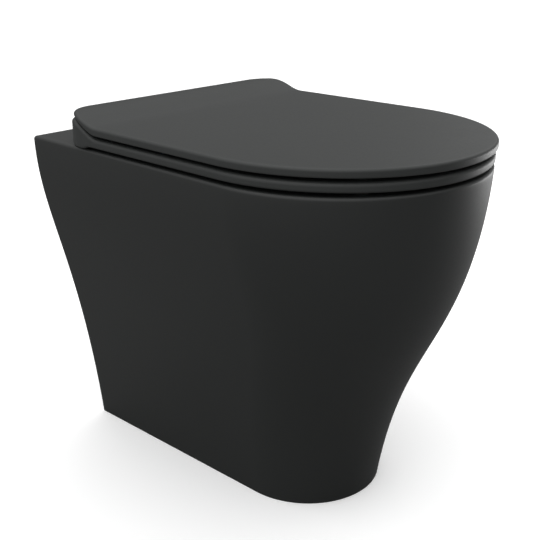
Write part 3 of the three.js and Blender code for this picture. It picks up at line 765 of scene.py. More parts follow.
@dataclass
class Pan:
    """The ceramic casting: skirt, deck, rimless bowl, trap way, spigot and flush horn."""

    datum: Datum
    side: SlopeCurve = SlopeCurve(90.0, (117.0, 0.61), (164.0, 0.75), 164.0)
    nose: SlopeCurve = SlopeCurve(384.0, (414.0, 0.51), (487.0, 0.48), 499.0)
    flare: float = 0.022
    wall: float = 12.0
    deck: float = 14.0
    edge_radius: float = 4.0
    lip_radius: float = 7.0
    bowl_wall: float = 10.0
    bore: float = 38.0
    trap_wall: float = 9.0
    bend: float = 50.0
    dip: float = 57.0
    slope: float = 60.0
    waste_height: float = 180.0
    crest_rise: float = 3.0
    crest_from_wall: float = 88.0
    spigot_face: float = 45.0
    spigot_radius: float = 51.0
    spigot_length: float = 65.0
    flush_height: float = 335.0
    flush_face: float = 50.0
    flush_outer: float = 30.0
    flush_bore: float = 22.5
    levels: tuple[BowlLevel, ...] = (
        BowlLevel(122.0, 51.0, 212.0, 344.0),
        BowlLevel(140.0, 58.0, 209.0, 360.0),
        BowlLevel(190.0, 72.0, 190.0, 394.0),
        BowlLevel(250.0, 95.0, 170.0, 426.0),
        BowlLevel(310.0, 112.0, 157.0, 449.0),
        BowlLevel(366.0, 124.0, 147.5, 464.5),
        BowlLevel(388.0, 122.0, 150.0, 462.0),
    )

    def outline(self, z: float, inset: float = 0.0, rear: float = 0.0) -> Array:
        """The skirt's plan at a height, moved inwards by inset, with rear as its gap to the wall plane."""
        share = float(np.clip(z / self.datum.rim_z, 0.0, 1.0))
        return d_loop(
            self.datum,
            float(self.side.at(share)) - inset,
            float(self.nose.at(share)) - inset,
            rear,
            self.flare * share,
        )

    @property
    def open_count(self) -> int:
        """How many points of the outline belong to the two sides and the nose."""
        return 50 + 96 + 50 + 1

    def outer_ring(self, z: float, inset: float = 0.0) -> Array:
        """The outer plan with its rear edge set in as far as its sides."""
        return self.outline(z, inset, inset)

    def inner_ring(self, z: float) -> Array:
        """The plan of the skirt's inside, whose rear edge lies in the wall plane."""
        return self.outline(z, self.wall, 0.0)

    def bowl_ring(self, z: float, grow: float, angles: Array) -> Array:
        """The bowl's plan at a height: an ellipse through the levels, grown by grow all round."""
        heights = [level.z for level in self.levels]
        smooth = self._smooth(heights, [(v.half_width, v.rear, v.front) for v in self.levels], z)
        half, rear, front = smooth
        middle = self.datum.from_wall((rear + front) / 2)
        radii = (half + grow, (front - rear) / 2 + grow)
        ring = np.stack([radii[0] * np.cos(angles), middle + radii[1] * np.sin(angles)], -1)
        return lift(ring, z)

    @staticmethod
    def _smooth(heights: Sequence[float], values: Sequence[Sequence[float]], z: float) -> Array:
        """A smooth curve through a few levels: cubic Hermite pieces with averaged slopes."""
        h = np.asarray(heights, float)
        v = np.asarray(values, float)
        slopes = np.gradient(v, h, axis=0)
        k = int(np.clip(np.searchsorted(h, z) - 1, 0, len(h) - 2))
        span = h[k + 1] - h[k]
        t = float(np.clip((z - h[k]) / span, 0.0, 1.0))
        return (
            (2 * t**3 - 3 * t**2 + 1) * v[k]
            + (t**3 - 2 * t**2 + t) * span * slopes[k]
            + (3 * t**2 - 2 * t**3) * v[k + 1]
            + (t**3 - t**2) * span * slopes[k + 1]
        )

    def trap_path(self, lead: float) -> tuple[Array, Array]:
        """The middle line of the water way from the sump to the spigot.

        It runs down, round the dip's bend, up a straight slope, over the crest's bend and level to
        the spigot face. lead is the straight stretch above the dip's bend.

        Returns:
            Points (y, z) and unit directions (y, z) along the line.
        """
        slope = math.radians(self.slope)
        crest = self.waste_height + self.crest_rise
        crest_y = self.datum.from_wall(self.crest_from_wall)
        rise = crest - self.dip - 2 * self.bend * (1 - math.cos(slope))
        dip_y = crest_y - 2 * self.bend * math.sin(slope) - rise / math.tan(slope)
        bends = (self.bend, self.bend)
        down = line((dip_y - self.bend, self.dip + self.bend + lead), (dip_y - self.bend, self.dip + self.bend), 2)
        dip = arc((dip_y, self.dip + self.bend), bends, 180.0, 270.0 + self.slope, 20)
        over = arc((crest_y, crest - self.bend), bends, 90.0 + self.slope, 90.0, 10)
        rising = line(dip[-1], over[0], 8)
        level = line((crest_y, crest), (self.datum.from_wall(self.spigot_face), self.waste_height), 8)
        path = np.concatenate([down[:-1], dip[:-1], rising[:-1], over[:-1], level])
        along = np.gradient(path, axis=0)
        along /= np.linalg.norm(along, axis=1, keepdims=True)
        return path, along

    def tube_rings(self, path: Array, along: Array, radii: Array, angles: Array) -> Array:
        """Rings round a line in the YZ plane: centre + r cos a X + r sin a N, N square to the line."""
        across = np.stack([np.zeros(len(path)), -along[:, 1], along[:, 0]], -1)
        centre = np.concatenate([np.zeros((len(path), 1)), path], -1)
        radius = radii[:, None, None]
        x_axis = np.array([1.0, 0.0, 0.0])
        return (
            centre[:, None, :]
            + radius * np.cos(angles)[None, :, None] * x_axis
            + radius * np.sin(angles)[None, :, None] * across[:, None, :]
        )

    def angles_from(self, ring: Array) -> Array:
        """The bearing of each point of a ring seen from the bowl's middle, rising round the ring."""
        top = self.levels[-1]
        middle = self.datum.from_wall((top.rear + top.front) / 2)
        half_length = (top.front - top.rear) / 2
        bearing = np.arctan2((ring[:, 1] - middle) / half_length, ring[:, 0] / top.half_width)
        return np.unwrap(bearing)

    def body(self) -> bpy.types.Object:
        """The casting as one closed skin.

        Patches: skirt outside, rim and deck, bowl and water way out to the spigot, back along the
        outside of the trap and bowl to the deck's underside, and down the skirt's inside to the foot.
        """
        skin = Skin()
        open_count = self.open_count
        deck_z = self.datum.rim_z - self.deck
        foot_to_deck = np.concatenate([np.linspace(0.0, 8.0, 3)[:-1], np.linspace(8.0, deck_z, 60)])
        outer = [self.outer_ring(z) for z in foot_to_deck]
        inner = [self.inner_ring(z) for z in foot_to_deck]
        skin.add_grid(np.stack([lift(r[:open_count], z) for r, z in zip(outer, foot_to_deck)]))
        skin.add_grid(np.stack([lift(r[:open_count], z) for r, z in zip(inner, foot_to_deck)]))
        foot = np.stack([lift(outer[0][:open_count], 0.0), lift(inner[0][:open_count], 0.0)])
        skin.add_grid(foot)
        for end in (0, open_count - 1):
            edge = [np.stack([lift(o[end : end + 1], z)[0], lift(i[end : end + 1], z)[0]]) for o, i, z in zip(outer, inner, foot_to_deck)]
            skin.add_grid(np.stack(edge))

        rim = self._rim_rows(deck_z)
        angles = self.angles_from(rim[-1])
        even = np.linspace(angles[0], angles[0] + np.sign(angles[-1] - angles[0]) * 2 * math.pi, len(angles) + 1)[:-1]
        rows = rim + self._deck_rows(rim[-1], angles) + self._water_way(angles, even)
        rows.append(self._underside_ring(inner[-1], deck_z))
        skin.add_grid(np.stack(rows), closed=True)
        return skin.build("pan_casting")

    def _rear_line(self, ring: Array, half_inner: float) -> Array:
        """A ring whose rear edge points are spread again so that two lie on the skirt's inner faces."""
        placed = ring.copy()
        count = len(ring) - self.open_count
        placed[self.open_count :, 0] = np.linspace(half_inner, -half_inner, count)
        return placed

    def _rim_rows(self, deck_z: float) -> list[Array]:
        """Rows from the deck's lower edge up over the rounded rim."""
        half_inner = float(self.inner_ring(deck_z)[0, 0]) * -1.0
        levels = [(z, 0.0) for z in np.linspace(deck_z, self.datum.rim_z - self.edge_radius, 4)]
        for angle in np.linspace(0.0, math.pi / 2, 9)[1:]:
            z = self.datum.rim_z - self.edge_radius * (1 - math.sin(angle))
            levels.append((z, self.edge_radius * (1 - math.cos(angle))))
        return [lift(self._rear_line(self.outer_ring(z, inset), half_inner), z) for z, inset in levels]

    def _deck_rows(self, edge: Array, angles: Array) -> list[Array]:
        """Rows across the flat deck to the bowl's lip, and round the lip's quarter circle."""
        lip = self.bowl_ring(self.levels[-1].z, self.lip_radius, angles)
        lip[:, 2] = self.datum.rim_z
        blend = np.linspace(0.0, 1.0, 15)[1:]
        across = [(1 - t) * edge + t * lip for t in blend]
        rows = []
        for angle in np.linspace(0.0, math.pi / 2, 9)[1:]:
            grow = self.lip_radius * (1 - math.sin(angle))
            ring = self.bowl_ring(self.levels[-1].z, grow, angles)
            ring[:, 2] = self.datum.rim_z - self.lip_radius * (1 - math.cos(angle))
            rows.append(ring)
        return across + rows

    def _water_way(self, angles: Array, even: Array) -> list[Array]:
        """Rows down the bowl, through the trap to the spigot and back up its outside."""
        lowest = self.levels[0].z
        highest = self.datum.rim_z - self.lip_radius
        heights = np.linspace(highest, lowest, 46)[1:]
        share = smoothstep(np.linspace(0.0, 1.0, len(heights)), 0.2, 1.0)
        inside = [self.bowl_ring(z, 0.0, (1 - s) * angles + s * even) for z, s in zip(heights, share)]
        path, along = self.trap_path(0.0)
        bore = self.tube_rings(path, along, np.full(len(path), self.bore), even)
        floor = self._floor_rows(inside[-1], bore[0])
        reach = self.datum.from_wall(self.spigot_face + self.spigot_length)
        straight = smoothstep(path[:, 0], reach - 4.0, reach)
        outside_radii = (self.bore + self.trap_wall) * (1 - straight) + self.spigot_radius * straight
        outside = self.tube_rings(path, along, outside_radii, even)[::-1]
        grown = [self.bowl_ring(z, self.bowl_wall, (1 - s) * angles + s * even) for z, s in zip(heights, share)]
        below = [g + np.array([0.0, 0.0, -4.0]) * (1 - k / len(grown)) for k, g in enumerate(grown[::-1])]
        deck_z = self.datum.rim_z - self.deck
        up = [ring for ring in below if ring[0, 2] < deck_z - 3.0]
        return inside + floor + list(bore[1:]) + list(outside) + self._floor_rows(outside[-1], up[0]) + up

    @staticmethod
    def _floor_rows(first: Array, last: Array) -> list[Array]:
        """Rows that carry one ring over into the next on a quarter-ellipse section."""
        turn = np.linspace(0.0, math.pi / 2, 8)[1:-1]
        level = np.array([1.0, 1.0, 0.0])
        rise = np.array([0.0, 0.0, 1.0])
        if first[0, 2] > last[0, 2]:
            return [first + (last - first) * (level * (1 - math.cos(a)) + rise * math.sin(a)) for a in turn]
        return [first + (last - first) * (level * math.sin(a) + rise * (1 - math.cos(a))) for a in turn]

    def _underside_ring(self, inner: Array, deck_z: float) -> Array:
        """The deck's underside where it meets the skirt's inner face and the wall plane."""
        half_inner = float(inner[0, 0]) * -1.0
        return lift(self._rear_line(inner, half_inner), deck_z)

    def horn(self) -> bpy.types.Object:
        """The flush horn behind the bowl: a tube with rounded rims, turned about its own axis."""
        length = self.levels[-1].rear - self.flush_face
        profile = np.array(
            [
                (self.flush_bore, 0.0),
                (self.flush_outer, 0.0),
                (self.flush_outer, length - 1.5),
                (self.flush_outer - 1.5, length),
                (self.flush_bore + 1.0, length),
                (self.flush_bore, length - 1.0),
            ]
        )
        centre = (0.0, self.datum.from_wall(self.levels[-1].rear), self.flush_height)
        return turned_piece("pan_flush_horn", profile, Axis.Y, centre)


# ------------------------------------------------------------------------------------- turned pieces
class Axis(Enum):
    """The direction of a turned piece's axis."""

    X = 0
    Y = 1
    Z = 2


def turned_piece(
    name: str,
    profile: Array,
    axis: Axis,
    centre: Sequence[float],
    segments: int = 64,
    sharp: float = 30.0,
) -> bpy.types.Object:
    """A solid of revolution: each (radius, height) of a closed profile is carried round the axis.

    Args:
        name: The piece's name.
        profile: Closed outline as (radius, distance along the axis) points.
        axis: Direction of the axis.
        centre: Where the profile's zero lies.
        segments: Steps round the axis.
        sharp: Edges sharper than this many degrees are drawn sharp.

    Returns:
        The new piece.
    """
    angle = np.linspace(0.0, 2 * math.pi, segments, endpoint=False)
    closed = np.concatenate([profile, profile[:1]])
    radius, height = closed[:, 0, None], closed[:, 1, None]
    parts = [radius * np.cos(angle), radius * np.sin(angle), np.broadcast_to(height, (len(closed), segments))]
    order = {Axis.X: (2, 0, 1), Axis.Y: (1, 2, 0), Axis.Z: (0, 1, 2)}[axis]
    grid = np.stack([parts[k] for k in order], -1) + np.asarray(centre, float)
    skin = Skin()
    skin.add_grid(grid, closed=True)
    return skin.build(name, sharp)


def rounded_profile(inner: float, outer: float, low: float, high: float, radius: float) -> Array:
    """The section of a washer, tube or (with inner 0) disc, with quarter-round outer corners."""
    inner_radius = min(radius, (outer - inner) / 2.01)
    corners = [
        arc((outer - inner_radius, low + radius), (inner_radius, radius), 270.0, 360.0, 6),
        arc((outer - inner_radius, high - radius), (inner_radius, radius), 0.0, 90.0, 6),
    ]
    inside = [np.array([(inner, high), (inner, low)])]
    return np.concatenate(corners + inside)


# ------------------------------------------------------------------------------------- seat and lid
@dataclass
class Lid:
    """The wrap-over lid: a thin plate with a deeper band round its edge and a raised rear."""

    datum: Datum
    half_width: float = 171.1
    flare: float = 0.009
    nose_ratio: float = 1.042
    rear: float = 67.0
    corner: float = 41.0
    bottom: float = 18.6
    band: float = 9.1
    plate: float = 4.6
    hump_rise: float = 12.3
    edge_radius: float = 3.4
    lip_radius: float = 1.2
    lug_inner: float = 8.0
    lug_outer: float = 61.3
    lug_radius: float = 10.5

    @property
    def top_z(self) -> float:
        """Height of the lid's flat top."""
        return self.datum.rim_z + self.bottom + self.band

    def top(self, y: Array) -> Array:
        """Height of the top face at y."""
        return self.top_z + self.hump_rise * LID_HUMP.share(self.datum, y)

    def under(self, y: Array) -> Array:
        """Height of the plate's underside at y."""
        return self.top(y) - self.plate

    def band_bottom(self, y: Array) -> Array:
        """Height of the edge band's lower rim at y: it rises into the plate where the hump is."""
        low = self.datum.rim_z + self.bottom
        return low + (self.band - self.plate + self.hump_rise) * LID_HUMP.share(self.datum, y)

    def loop(self, inset: float) -> Array:
        """The lid's plan, moved inwards."""
        reach = self.datum.wall_y - self.datum.nose_y
        return d_loop(
            self.datum,
            self.half_width - inset,
            reach - inset,
            self.rear + inset,
            self.flare,
            self.nose_ratio,
            max(self.corner - inset, 2.0),
            (90, 120, 90),
        )

    def shell(self) -> bpy.types.Object:
        """The lid as one closed skin, from the middle of its top over the edge to its underside."""
        centre = np.array([0.0, self.datum.from_wall(285.0)])
        rows = []
        flat = self.loop(self.edge_radius)
        scales = np.concatenate([np.linspace(0.03, 0.94, 60), np.linspace(0.94, 1.0, 8)[1:]])
        for scale in scales:
            plan = centre + (flat - centre) * scale
            rows.append(lift(plan, self.top(plan[:, 1])))
        for angle in np.linspace(math.pi / 2, 0.0, 9)[1:]:
            plan = self.loop(self.edge_radius * (1 - math.cos(angle)))
            rows.append(lift(plan, self.top(plan[:, 1]) - self.edge_radius * (1 - math.sin(angle))))
        edge = self.loop(0.0)
        high = self.top(edge[:, 1]) - self.edge_radius
        low = self.band_bottom(edge[:, 1]) + self.lip_radius
        for share in np.linspace(0.0, 1.0, 5)[1:]:
            rows.append(lift(edge, (1 - share) * high + share * np.minimum(low, high)))
        for angle in np.linspace(0.0, math.pi / 2, 5)[1:]:
            plan = self.loop(self.lip_radius * (1 - math.cos(angle)))
            drop = self.lip_radius * (1 - math.sin(angle))
            rows.append(lift(plan, self.band_bottom(plan[:, 1]) + drop))
        inner = self.loop(self.plate)
        lip = self.loop(self.plate - self.lip_radius)
        rows.append(lift(lip, self.band_bottom(lip[:, 1])))
        rows.append(lift(inner, np.minimum(self.band_bottom(inner[:, 1]) + self.lip_radius, self.under(inner[:, 1]))))
        rows.append(lift(inner, self.under(inner[:, 1]) - 0.4))
        for scale in scales[::-1]:
            plan = centre + (self.loop(self.plate + 0.4) - centre) * scale
            rows.append(lift(plan, self.under(plan[:, 1])))
        skin = Skin()
        skin.add_grid(np.stack(rows), closed=True)
        skin.add_cap(rows[0], (*centre, float(self.top(centre[1]))))
        skin.add_cap(rows[-1], (*centre, float(self.under(centre[1]))))
        return skin.build("lid_shell", 50.0)

    def lugs(self) -> list[bpy.types.Object]:
        """The two hinge lugs under the lid: a barrel round the pin with a web up to the plate."""
        made = []
        for side in Side:
            y, z = self.datum.hinge_y, self.datum.hinge_z
            under = float(self.under(y))
            around = arc((y, z), (self.lug_radius, self.lug_radius), 140.0, 400.0, 40)
            section = np.concatenate([around, [(y + 8.0, z + 9.0), (y + 8.0, under + 1.0), (y - 8.0, under + 1.0), (y - 8.0, z + 9.0)]])
            across = np.sort(np.array([self.lug_inner, self.lug_outer]) * side.value)
            grid = np.stack([np.concatenate([np.full((len(section), 1), x), section], -1) for x in across])
            skin = Skin()
            skin.add_grid(grid, closed=True)
            for row in grid:
                skin.add_cap(row, (float(row[0, 0]), y, z + 2.0))
            lug = skin.build(f"lid_lug_{side.word}", 35.0)
            bevel(lug, 0.8, 3, 60.0)
            made.append(lug)
        return made


@dataclass
class Seat:
    """The seat ring, whose rear rises into two ears beside the hinge blocks."""

    datum: Datum
    half_width: float = 169.0
    flare: float = 0.009
    nose_ratio: float = 1.03
    reach: float = 499.7
    rear: float = 63.0
    corner: float = 36.0
    bottom: float = 4.0
    thickness: float = 10.4
    hump_rise: float = 16.8
    opening_half: float = 111.0
    opening_rear: float = 165.0
    opening_front: float = 443.0
    ear_inner: float = 93.7
    recess: float = 105.5
    top_radius: float = 4.6
    bottom_radius: float = 2.2
    heel_gap: float = 1.0
    heel_radius: float = 10.5
    heel_front: float = 30.0
    heel_slope: float = 12.0
    dish: float = 1.8

    def outline(self) -> Array:
        """The outer plan: a D whose rear edge is cut back between the two ears."""
        whole = d_loop(
            self.datum,
            self.half_width,
            self.reach,
            self.rear,
            self.flare,
            self.nose_ratio,
            self.corner,
            (130, 190, 2),
        )
        rear_y = self.datum.from_wall(self.rear)
        recess_y = self.datum.from_wall(self.recess)
        sides = whole[: 130 + 190 + 130 + 12 + 1]
        tip, root = 5.0, 5.0
        x = self.ear_inner
        edge = self.half_width + self.flare * self.rear - self.corner
        right = [
            line((edge, rear_y), (x + tip, rear_y), 22)[1:-1],
            arc((x + tip, rear_y - tip), (tip, tip), 90.0, 180.0, 8),
            line((x, rear_y - tip), (x, recess_y + root), 14)[1:-1],
            arc((x - root, recess_y + root), (root, root), 360.0, 270.0, 8),
        ]
        left = [part[::-1] * np.array([-1.0, 1.0]) for part in right[::-1]]
        between = [line((x - root, recess_y), (root - x, recess_y), 70)[1:-1]]
        corner = whole[-12:]
        return np.concatenate([sides, *right, *between, *left, corner])

    def opening(self) -> Array:
        """The hole's plan: an ellipse."""
        middle = self.datum.from_wall((self.opening_rear + self.opening_front) / 2)
        half_length = (self.opening_front - self.opening_rear) / 2
        return arc((0.0, middle), (self.opening_half, half_length), 0.0, 360.0, 260)[:-1]

    def top(self, plan: Array) -> Array:
        """Height of the top face: flat, raised by the hump at the rear and dished near the hole."""
        middle = self.datum.from_wall((self.opening_rear + self.opening_front) / 2)
        half_length = (self.opening_front - self.opening_rear) / 2
        reach = np.hypot(plan[:, 0] / self.opening_half, (plan[:, 1] - middle) / half_length)
        dip = self.dish * (1.0 - smoothstep(reach, 1.0, 1.22))
        rise = self.hump_rise * SEAT_HUMP.share(self.datum, plan[:, 1])
        return self.datum.rim_z + self.bottom + self.thickness + rise - dip

    def under(self, plan: Array) -> Array:
        """Height of the underside: flat, then a heel that nears the deck and rounds up at the rear."""
        y = plan[:, 1]
        flat = self.datum.rim_z + self.bottom
        heel = self.datum.rim_z + self.heel_gap
        front = self.datum.hinge_y - self.heel_front
        share = smoothstep(y, front - self.heel_slope, front)
        low = flat * (1 - share) + heel * share
        behind = np.clip(y - self.datum.hinge_y, 0.0, self.heel_radius)
        rise = self.heel_radius - np.sqrt(np.maximum(self.heel_radius**2 - behind**2, 0.0))
        return low + rise

    def ring(self) -> bpy.types.Object:
        """The seat as one closed skin: a top and an underside on one plan, joined by their edges."""
        skin = Skin()
        last = {}
        for name, base, way in (("outer", self.outline(), 1.0), ("hole", self.opening(), -1.0)):
            rows = []
            for inset in edge_insets(self.top_radius, 7)[::-1]:
                plan = inset_loop(base, inset * way)
                rows.append(lift(plan, self.top(plan) - rounded_drop(inset, self.top_radius)))
            high, low = rows[-1][:, 2], self.under(base) + self.bottom_radius
            for share in np.linspace(0.0, 1.0, 7)[1:-1]:
                rows.append(lift(base, (1 - share) * high + share * low))
            for inset in edge_insets(self.bottom_radius, 4):
                plan = inset_loop(base, inset * way)
                rows.append(lift(plan, self.under(plan) + rounded_drop(inset, self.bottom_radius)))
            skin.add_grid(np.stack(rows), closed=True)
            last[name] = (rows[0][:, :2], rows[-1][:, :2])
        for place, height in ((0, self.top), (1, self.under)):
            plan, triangles = fill_plan(last["outer"][place], last["hole"][place], 3.5)
            skin.add_triangles(lift(plan, height(plan)), triangles)
        return skin.build("seat_shell", 50.0)


def fill_plan(outer: Array, hole: Array, pitch: float) -> tuple[Array, Array]:
    """Triangles that fill the plan between an outline and a hole.

    A square lattice of points lies between the two loops, half a pitch clear of them, and a
    constrained Delaunay triangulation keeps to the loops' own edges.

    Args:
        outer: The outline.
        hole: The hole.
        pitch: Spacing of the lattice.

    Returns:
        The points, the two loops first and in order, and the triangles between them.
    """
    low, high = outer.min(axis=0), outer.max(axis=0)
    sides = [np.arange(low[k] + pitch / 2, high[k], pitch) for k in range(2)]
    lattice = np.stack(np.meshgrid(*sides), -1).reshape(-1, 2)
    keep = inside_loop(lattice, inset_loop(outer, pitch / 2)) & ~inside_loop(lattice, inset_loop(hole, -pitch / 2))
    count = len(outer)
    edges = [np.stack([np.arange(count), np.roll(np.arange(count), -1)], -1)]
    ring = count + np.arange(len(hole))
    edges.append(np.stack([ring, np.roll(ring, -1)], -1))
    points = np.concatenate([outer, hole, lattice[keep]])
    vectors = [Vector(point) for point in points.tolist()]
    result = delaunay_2d_cdt(vectors, np.concatenate(edges).tolist(), [], 0, 1e-7)
    origin = np.array([numbers[0] for numbers in result[3]])
    triangles = origin[np.array(result[2])]
    middles = points[triangles].mean(axis=1)
    inside = inside_loop(middles, outer) & ~inside_loop(middles, hole)
    return points, triangles[inside]


# ------------------------------------------------------------------------------------- fittings
@dataclass
class Fittings:
    """Hinge blocks, buttons, plates, buffers, pipes and brackets, from their CAD nodes' boxes and meshes."""

    frame: dict
    datum: Datum
    library: Library

    def disc(self, node: str, body: str, radius: float, bore: float = 0.0) -> bpy.types.Object:
        """A washer or pad in place of an upright round node, with rounded outer edges.

        Args:
            node: The CAD node it stands for.
            body: The body it rides on.
            radius: Radius of its edge rounding.
            bore: Radius of its hole.

        Returns:
            The new piece.
        """
        low, high = (np.array(c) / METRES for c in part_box(node))
        centre = ((low[0] + high[0]) / 2, (low[1] + high[1]) / 2, 0.0)
        outer = (high[0] - low[0]) / 2
        profile = rounded_profile(bore, outer, low[2], high[2], radius)
        piece = turned_piece(f"{node}_turned", profile, Axis.Z, centre)
        return self.settle(piece, node, body)

    def softened(self, node: str, body: str, width: float) -> bpy.types.Object:
        """A copy of a CAD node, welded, with its sharp edges rounded."""
        source = self.frame["nodes"][node]
        mesh = source.data.copy()
        welded = bmesh.new()
        welded.from_mesh(mesh)
        bmesh.ops.remove_doubles(welded, verts=welded.verts, dist=1e-6)
        bmesh.ops.dissolve_limit(welded, angle_limit=math.radians(1.0), verts=welded.verts, edges=welded.edges)
        welded.to_mesh(mesh)
        welded.free()
        mesh.polygons.foreach_set("use_smooth", np.ones(len(mesh.polygons), bool))
        mesh.set_sharp_from_angle(angle=math.radians(35.0))
        piece = bpy.data.objects.new(f"{node}_moulded", mesh)
        bpy.context.scene.collection.objects.link(piece)
        bevel(piece, width, 3, 35.0)
        return self.settle(piece, node, body)

    def settle(self, piece: bpy.types.Object, node: str, body: str) -> bpy.types.Object:
        """Dresses a piece, puts it on its body and hides the CAD node it stands for."""
        self.library.dress(piece, self.library.slots[node])
        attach(piece, body)
        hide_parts(node)
        log.info("%s rides on %s", piece.name, body)
        return piece

    def pipe(self, node: str, profile: Array) -> bpy.types.Object:
        """A turned piece along Y in place of a pipe node; the profile runs from the node's front end."""
        low, high = (np.array(c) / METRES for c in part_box(node))
        centre = ((low[0] + high[0]) / 2, low[1], (low[2] + high[2]) / 2)
        return self.settle(turned_piece(f"{node}_turned", profile, Axis.Y, centre, 96), node, "pan")

    def build(self) -> None:
        """Builds every fitting that shows when the seat is up or from behind."""
        for side in Side:
            for name, body in (("seat_buffer", "seat"), ("lid_buffer", "lid")):
                for place in ("front", "rear"):
                    self.disc(f"{name}_{place}_{side.word}", body, 1.4)
            self.disc(f"base_gasket_{side.word}", "pan", 0.35, 3.3)
            self.disc(f"base_plate_{side.word}", "pan", 0.7, 3.3)
            self.softened(f"hinge_block_{side.word}", "hinges", 0.9)
            self.softened(f"release_button_{side.word}", f"button_{side.word}", 0.5)
            self.softened(f"floor_bracket_{side.word}", "pan", 0.6)
        self.pipe("outlet_connector", self._connector_profile())
        self.pipe("outlet_seal", self._seal_profile())
        self.pipe("flush_inlet_seal", self._flush_profile())

    @staticmethod
    def _connector_profile() -> Array:
        """Socket with a rolled lip, a shoulder and the pipe with a chamfered end."""
        return np.array(
            [
                (57.0, 0.8), (57.8, 0.0), (60.2, 0.0), (61.0, 0.8), (61.0, 5.0), (60.0, 6.0),
                (60.0, 31.0), (59.4, 33.5), (55.6, 37.4), (55.0, 39.0), (55.0, 74.2), (53.4, 76.0),
                (50.6, 76.0), (50.0, 75.4), (50.0, 35.0), (51.0, 34.0), (56.2, 34.0), (57.0, 33.2),
            ]
        )

    @staticmethod
    def _seal_profile() -> Array:
        """A rubber ring with three fins that slope towards the pipe."""
        root, fin, inner = 54.0, 56.6, 51.35
        fins = np.concatenate([[(root, 2.0 + p), (fin - 0.4, 2.6 + p), (fin, 3.2 + p), (root + 0.4, 5.0 + p)] for p in (0.0, 7.0, 14.0)])
        return np.concatenate([[(inner, 0.0), (root, 0.0)], fins, [(root, 24.0), (inner, 24.0)]])

    @staticmethod
    def _flush_profile() -> Array:
        """A rubber plug with a round flange."""
        return np.array(
            [
                (16.0, 0.6), (16.6, 0.0), (20.4, 0.0), (21.2, 1.0), (22.2, 6.0), (22.2, 23.6), (23.0, 24.4),
                (26.0, 24.4), (27.0, 25.4), (27.0, 30.6), (25.6, 32.0), (17.4, 32.0), (16.0, 30.6),
            ]
        )


# ------------------------------------------------------------------------------------- studio
@dataclass(frozen=True)
class Softbox:
    """One soft rectangular light of the studio."""

    name: str
    place: tuple[float, float, float]
    aim: tuple[float, float, float]
    size: tuple[float, float]
    power: float


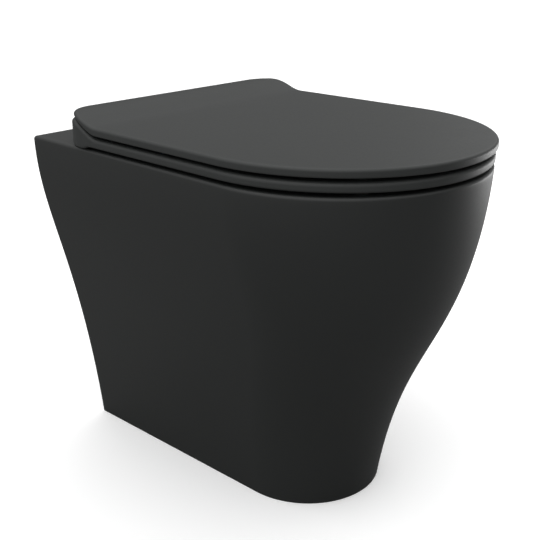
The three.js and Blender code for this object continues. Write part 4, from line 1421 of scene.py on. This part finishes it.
@dataclass
class Studio:
    """Camera, pale floor and soft light."""

    azimuth: float = -47.09
    elevation: float = 20.29
    distance: float = 1.0879
    target: tuple[float, float, float] = (-0.0298, -0.0091, 0.2577)
    lens: float = 62.16
    backdrop: float = 1.05
    floor_glow: float = 0.12
    level: float = 0.05
    overhead: float = 1.9
    from_left: float = 0.95
    boxes: tuple[Softbox, ...] = (
        Softbox("right_strip", (1.65, -0.45, 0.21), (0.05, -0.1, 0.21), (0.9, 0.4), 9.0),
        Softbox("right_top", (1.5, 0.2, 1.1), (0.1, -0.15, 0.4), (0.8, 0.5), 1.5),
        Softbox("rear_strip", (1.45, 1.05, 0.21), (0.05, -0.1, 0.21), (1.2, 0.4), 8.0),
    )

    def camera(self) -> None:
        """A camera that looks at the target from an azimuth, elevation and distance."""
        data = bpy.data.cameras.new("camera")
        data.lens = self.lens
        data.sensor_width = 36.0
        camera = bpy.data.objects.new("camera", data)
        bpy.context.scene.collection.objects.link(camera)
        turn, tilt = math.radians(self.azimuth), math.radians(self.elevation)
        away = Vector((math.sin(turn) * math.cos(tilt), -math.cos(turn) * math.cos(tilt), math.sin(tilt)))
        camera.location = Vector(self.target) + away * self.distance
        camera.rotation_euler = away.to_track_quat("Z", "Y").to_euler()
        bpy.context.scene.camera = camera

    def floor(self) -> None:
        """A wide plain floor just below the foot: white to the camera, duller as a reflector."""
        half, below = 12.0, -0.0005
        corners = [(x, y, below) for x, y in ((-half, -half), (half, -half), (half, half), (-half, half))]
        mesh = bpy.data.meshes.new("floor")
        mesh.from_pydata(corners, [], [(0, 1, 2, 3)])
        floor = bpy.data.objects.new("floor", mesh)
        bpy.context.scene.collection.objects.link(floor)
        material = bpy.data.materials.new("floor")
        material.use_nodes = True
        nodes = Nodes(material.node_tree)
        paint = nodes.add("ShaderNodeBsdfDiffuse")
        paint.inputs["Color"].default_value = (0.97, 0.97, 0.97, 1.0)
        glow = nodes.add("ShaderNodeEmission")
        glow.inputs["Strength"].default_value = self.floor_glow
        seen = nodes.add("ShaderNodeAddShader")
        nodes.link(paint.outputs[0], seen.inputs[0])
        nodes.link(glow.outputs[0], seen.inputs[1])
        bounced = nodes.add("ShaderNodeBsdfDiffuse")
        bounced.inputs["Color"].default_value = (0.22, 0.22, 0.22, 1.0)
        mix = nodes.add("ShaderNodeMixShader")
        path = nodes.add("ShaderNodeLightPath")
        output = nodes.add("ShaderNodeOutputMaterial")
        nodes.link(path.outputs["Is Camera Ray"], mix.inputs[0])
        nodes.link(bounced.outputs[0], mix.inputs[1])
        nodes.link(seen.outputs[0], mix.inputs[2])
        nodes.link(mix.outputs[0], output.inputs["Surface"])
        mesh.materials.append(material)

    def light(self, box: Softbox) -> None:
        """One area light that faces its aim."""
        data = bpy.data.lights.new(box.name, "AREA")
        data.shape = "RECTANGLE"
        data.size, data.size_y = box.size
        data.energy = box.power
        lamp = bpy.data.objects.new(box.name, data)
        bpy.context.scene.collection.objects.link(lamp)
        lamp.location = box.place
        away = Vector(box.place) - Vector(box.aim)
        lamp.rotation_euler = away.to_track_quat("Z", "Y").to_euler()

    def surround(self) -> None:
        """A white room: plain to the camera, and as a light strongest overhead.

        Strength is level + overhead x up squared + from_left x -x, with the parts below the horizon
        and on the right left out.
        """
        world = bpy.data.worlds.new("surround")
        bpy.context.scene.world = world
        world.use_nodes = True
        nodes = Nodes(world.node_tree)
        direction = nodes.add("ShaderNodeSeparateXYZ")
        nodes.link(nodes.add("ShaderNodeTexCoord").outputs["Generated"], direction.inputs[0])
        strength = self.level
        for axis, share, power in ((2, self.overhead, 2.0), (0, -self.from_left, 1.0)):
            sign = math.copysign(1.0, share)
            part = nodes.math("MAXIMUM", nodes.math("MULTIPLY", direction.outputs[axis], sign), 0.0)
            part = nodes.math("MULTIPLY", nodes.math("POWER", part, power), abs(share))
            strength = nodes.math("ADD", strength, part)
        lighting = nodes.add("ShaderNodeBackground")
        nodes.link(strength, lighting.inputs["Strength"])
        plain = nodes.add("ShaderNodeBackground")
        plain.inputs["Strength"].default_value = self.backdrop
        for shader in (lighting, plain):
            shader.inputs["Color"].default_value = (1.0, 1.0, 1.0, 1.0)
        mix = nodes.add("ShaderNodeMixShader")
        nodes.link(nodes.add("ShaderNodeLightPath").outputs["Is Camera Ray"], mix.inputs[0])
        nodes.link(lighting.outputs[0], mix.inputs[1])
        nodes.link(plain.outputs[0], mix.inputs[2])
        nodes.link(mix.outputs[0], nodes.add("ShaderNodeOutputWorld").inputs["Surface"])

    def build(self) -> None:
        """Sets the whole studio."""
        bpy.context.scene.view_settings.view_transform = "Standard"
        self.camera()
        self.floor()
        self.surround()
        for box in self.boxes:
            self.light(box)


# ------------------------------------------------------------------------------------- main
def put(library: Library, piece: bpy.types.Object, slot: str, body: str, nodes: Sequence[str] = ()) -> None:
    """Dresses a piece, puts it on a body and hides the CAD nodes that it stands for.

    Args:
        library: Holds the materials.
        piece: The new piece.
        slot: The record's material slot.
        body: The body it rides on.
        nodes: CAD nodes it replaces.
    """
    library.dress(piece, slot)
    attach(piece, body)
    if nodes:
        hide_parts(*nodes)
    log.info("%s: %d faces, rides on %s", piece.name, len(piece.data.polygons), body)


def main() -> None:
    """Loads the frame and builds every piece."""
    logging.basicConfig(level=logging.INFO, format="%(name)s: %(message)s")
    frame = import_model()
    datum = Datum.from_frame(frame)
    library = Library(frame["record"])
    for name, node in frame["nodes"].items():
        library.dress_node(name, node)

    pan = Pan(datum)
    casting = pan.body()
    bevel(casting, 1.2, 2, 60.0)
    put(library, casting, "black_ceramic", "pan", ["pan"])
    put(library, pan.horn(), "black_ceramic", "pan")

    lid = Lid(datum)
    put(library, lid.shell(), "black_duroplast", "lid", ["lid"])
    for lug in lid.lugs():
        put(library, lug, "black_duroplast", "lid")
    put(library, Seat(datum).ring(), "black_duroplast", "seat", ["seat_ring"])
    Fittings(frame, datum, library).build()

    Studio().build()


if __name__ == "__main__":
    main()
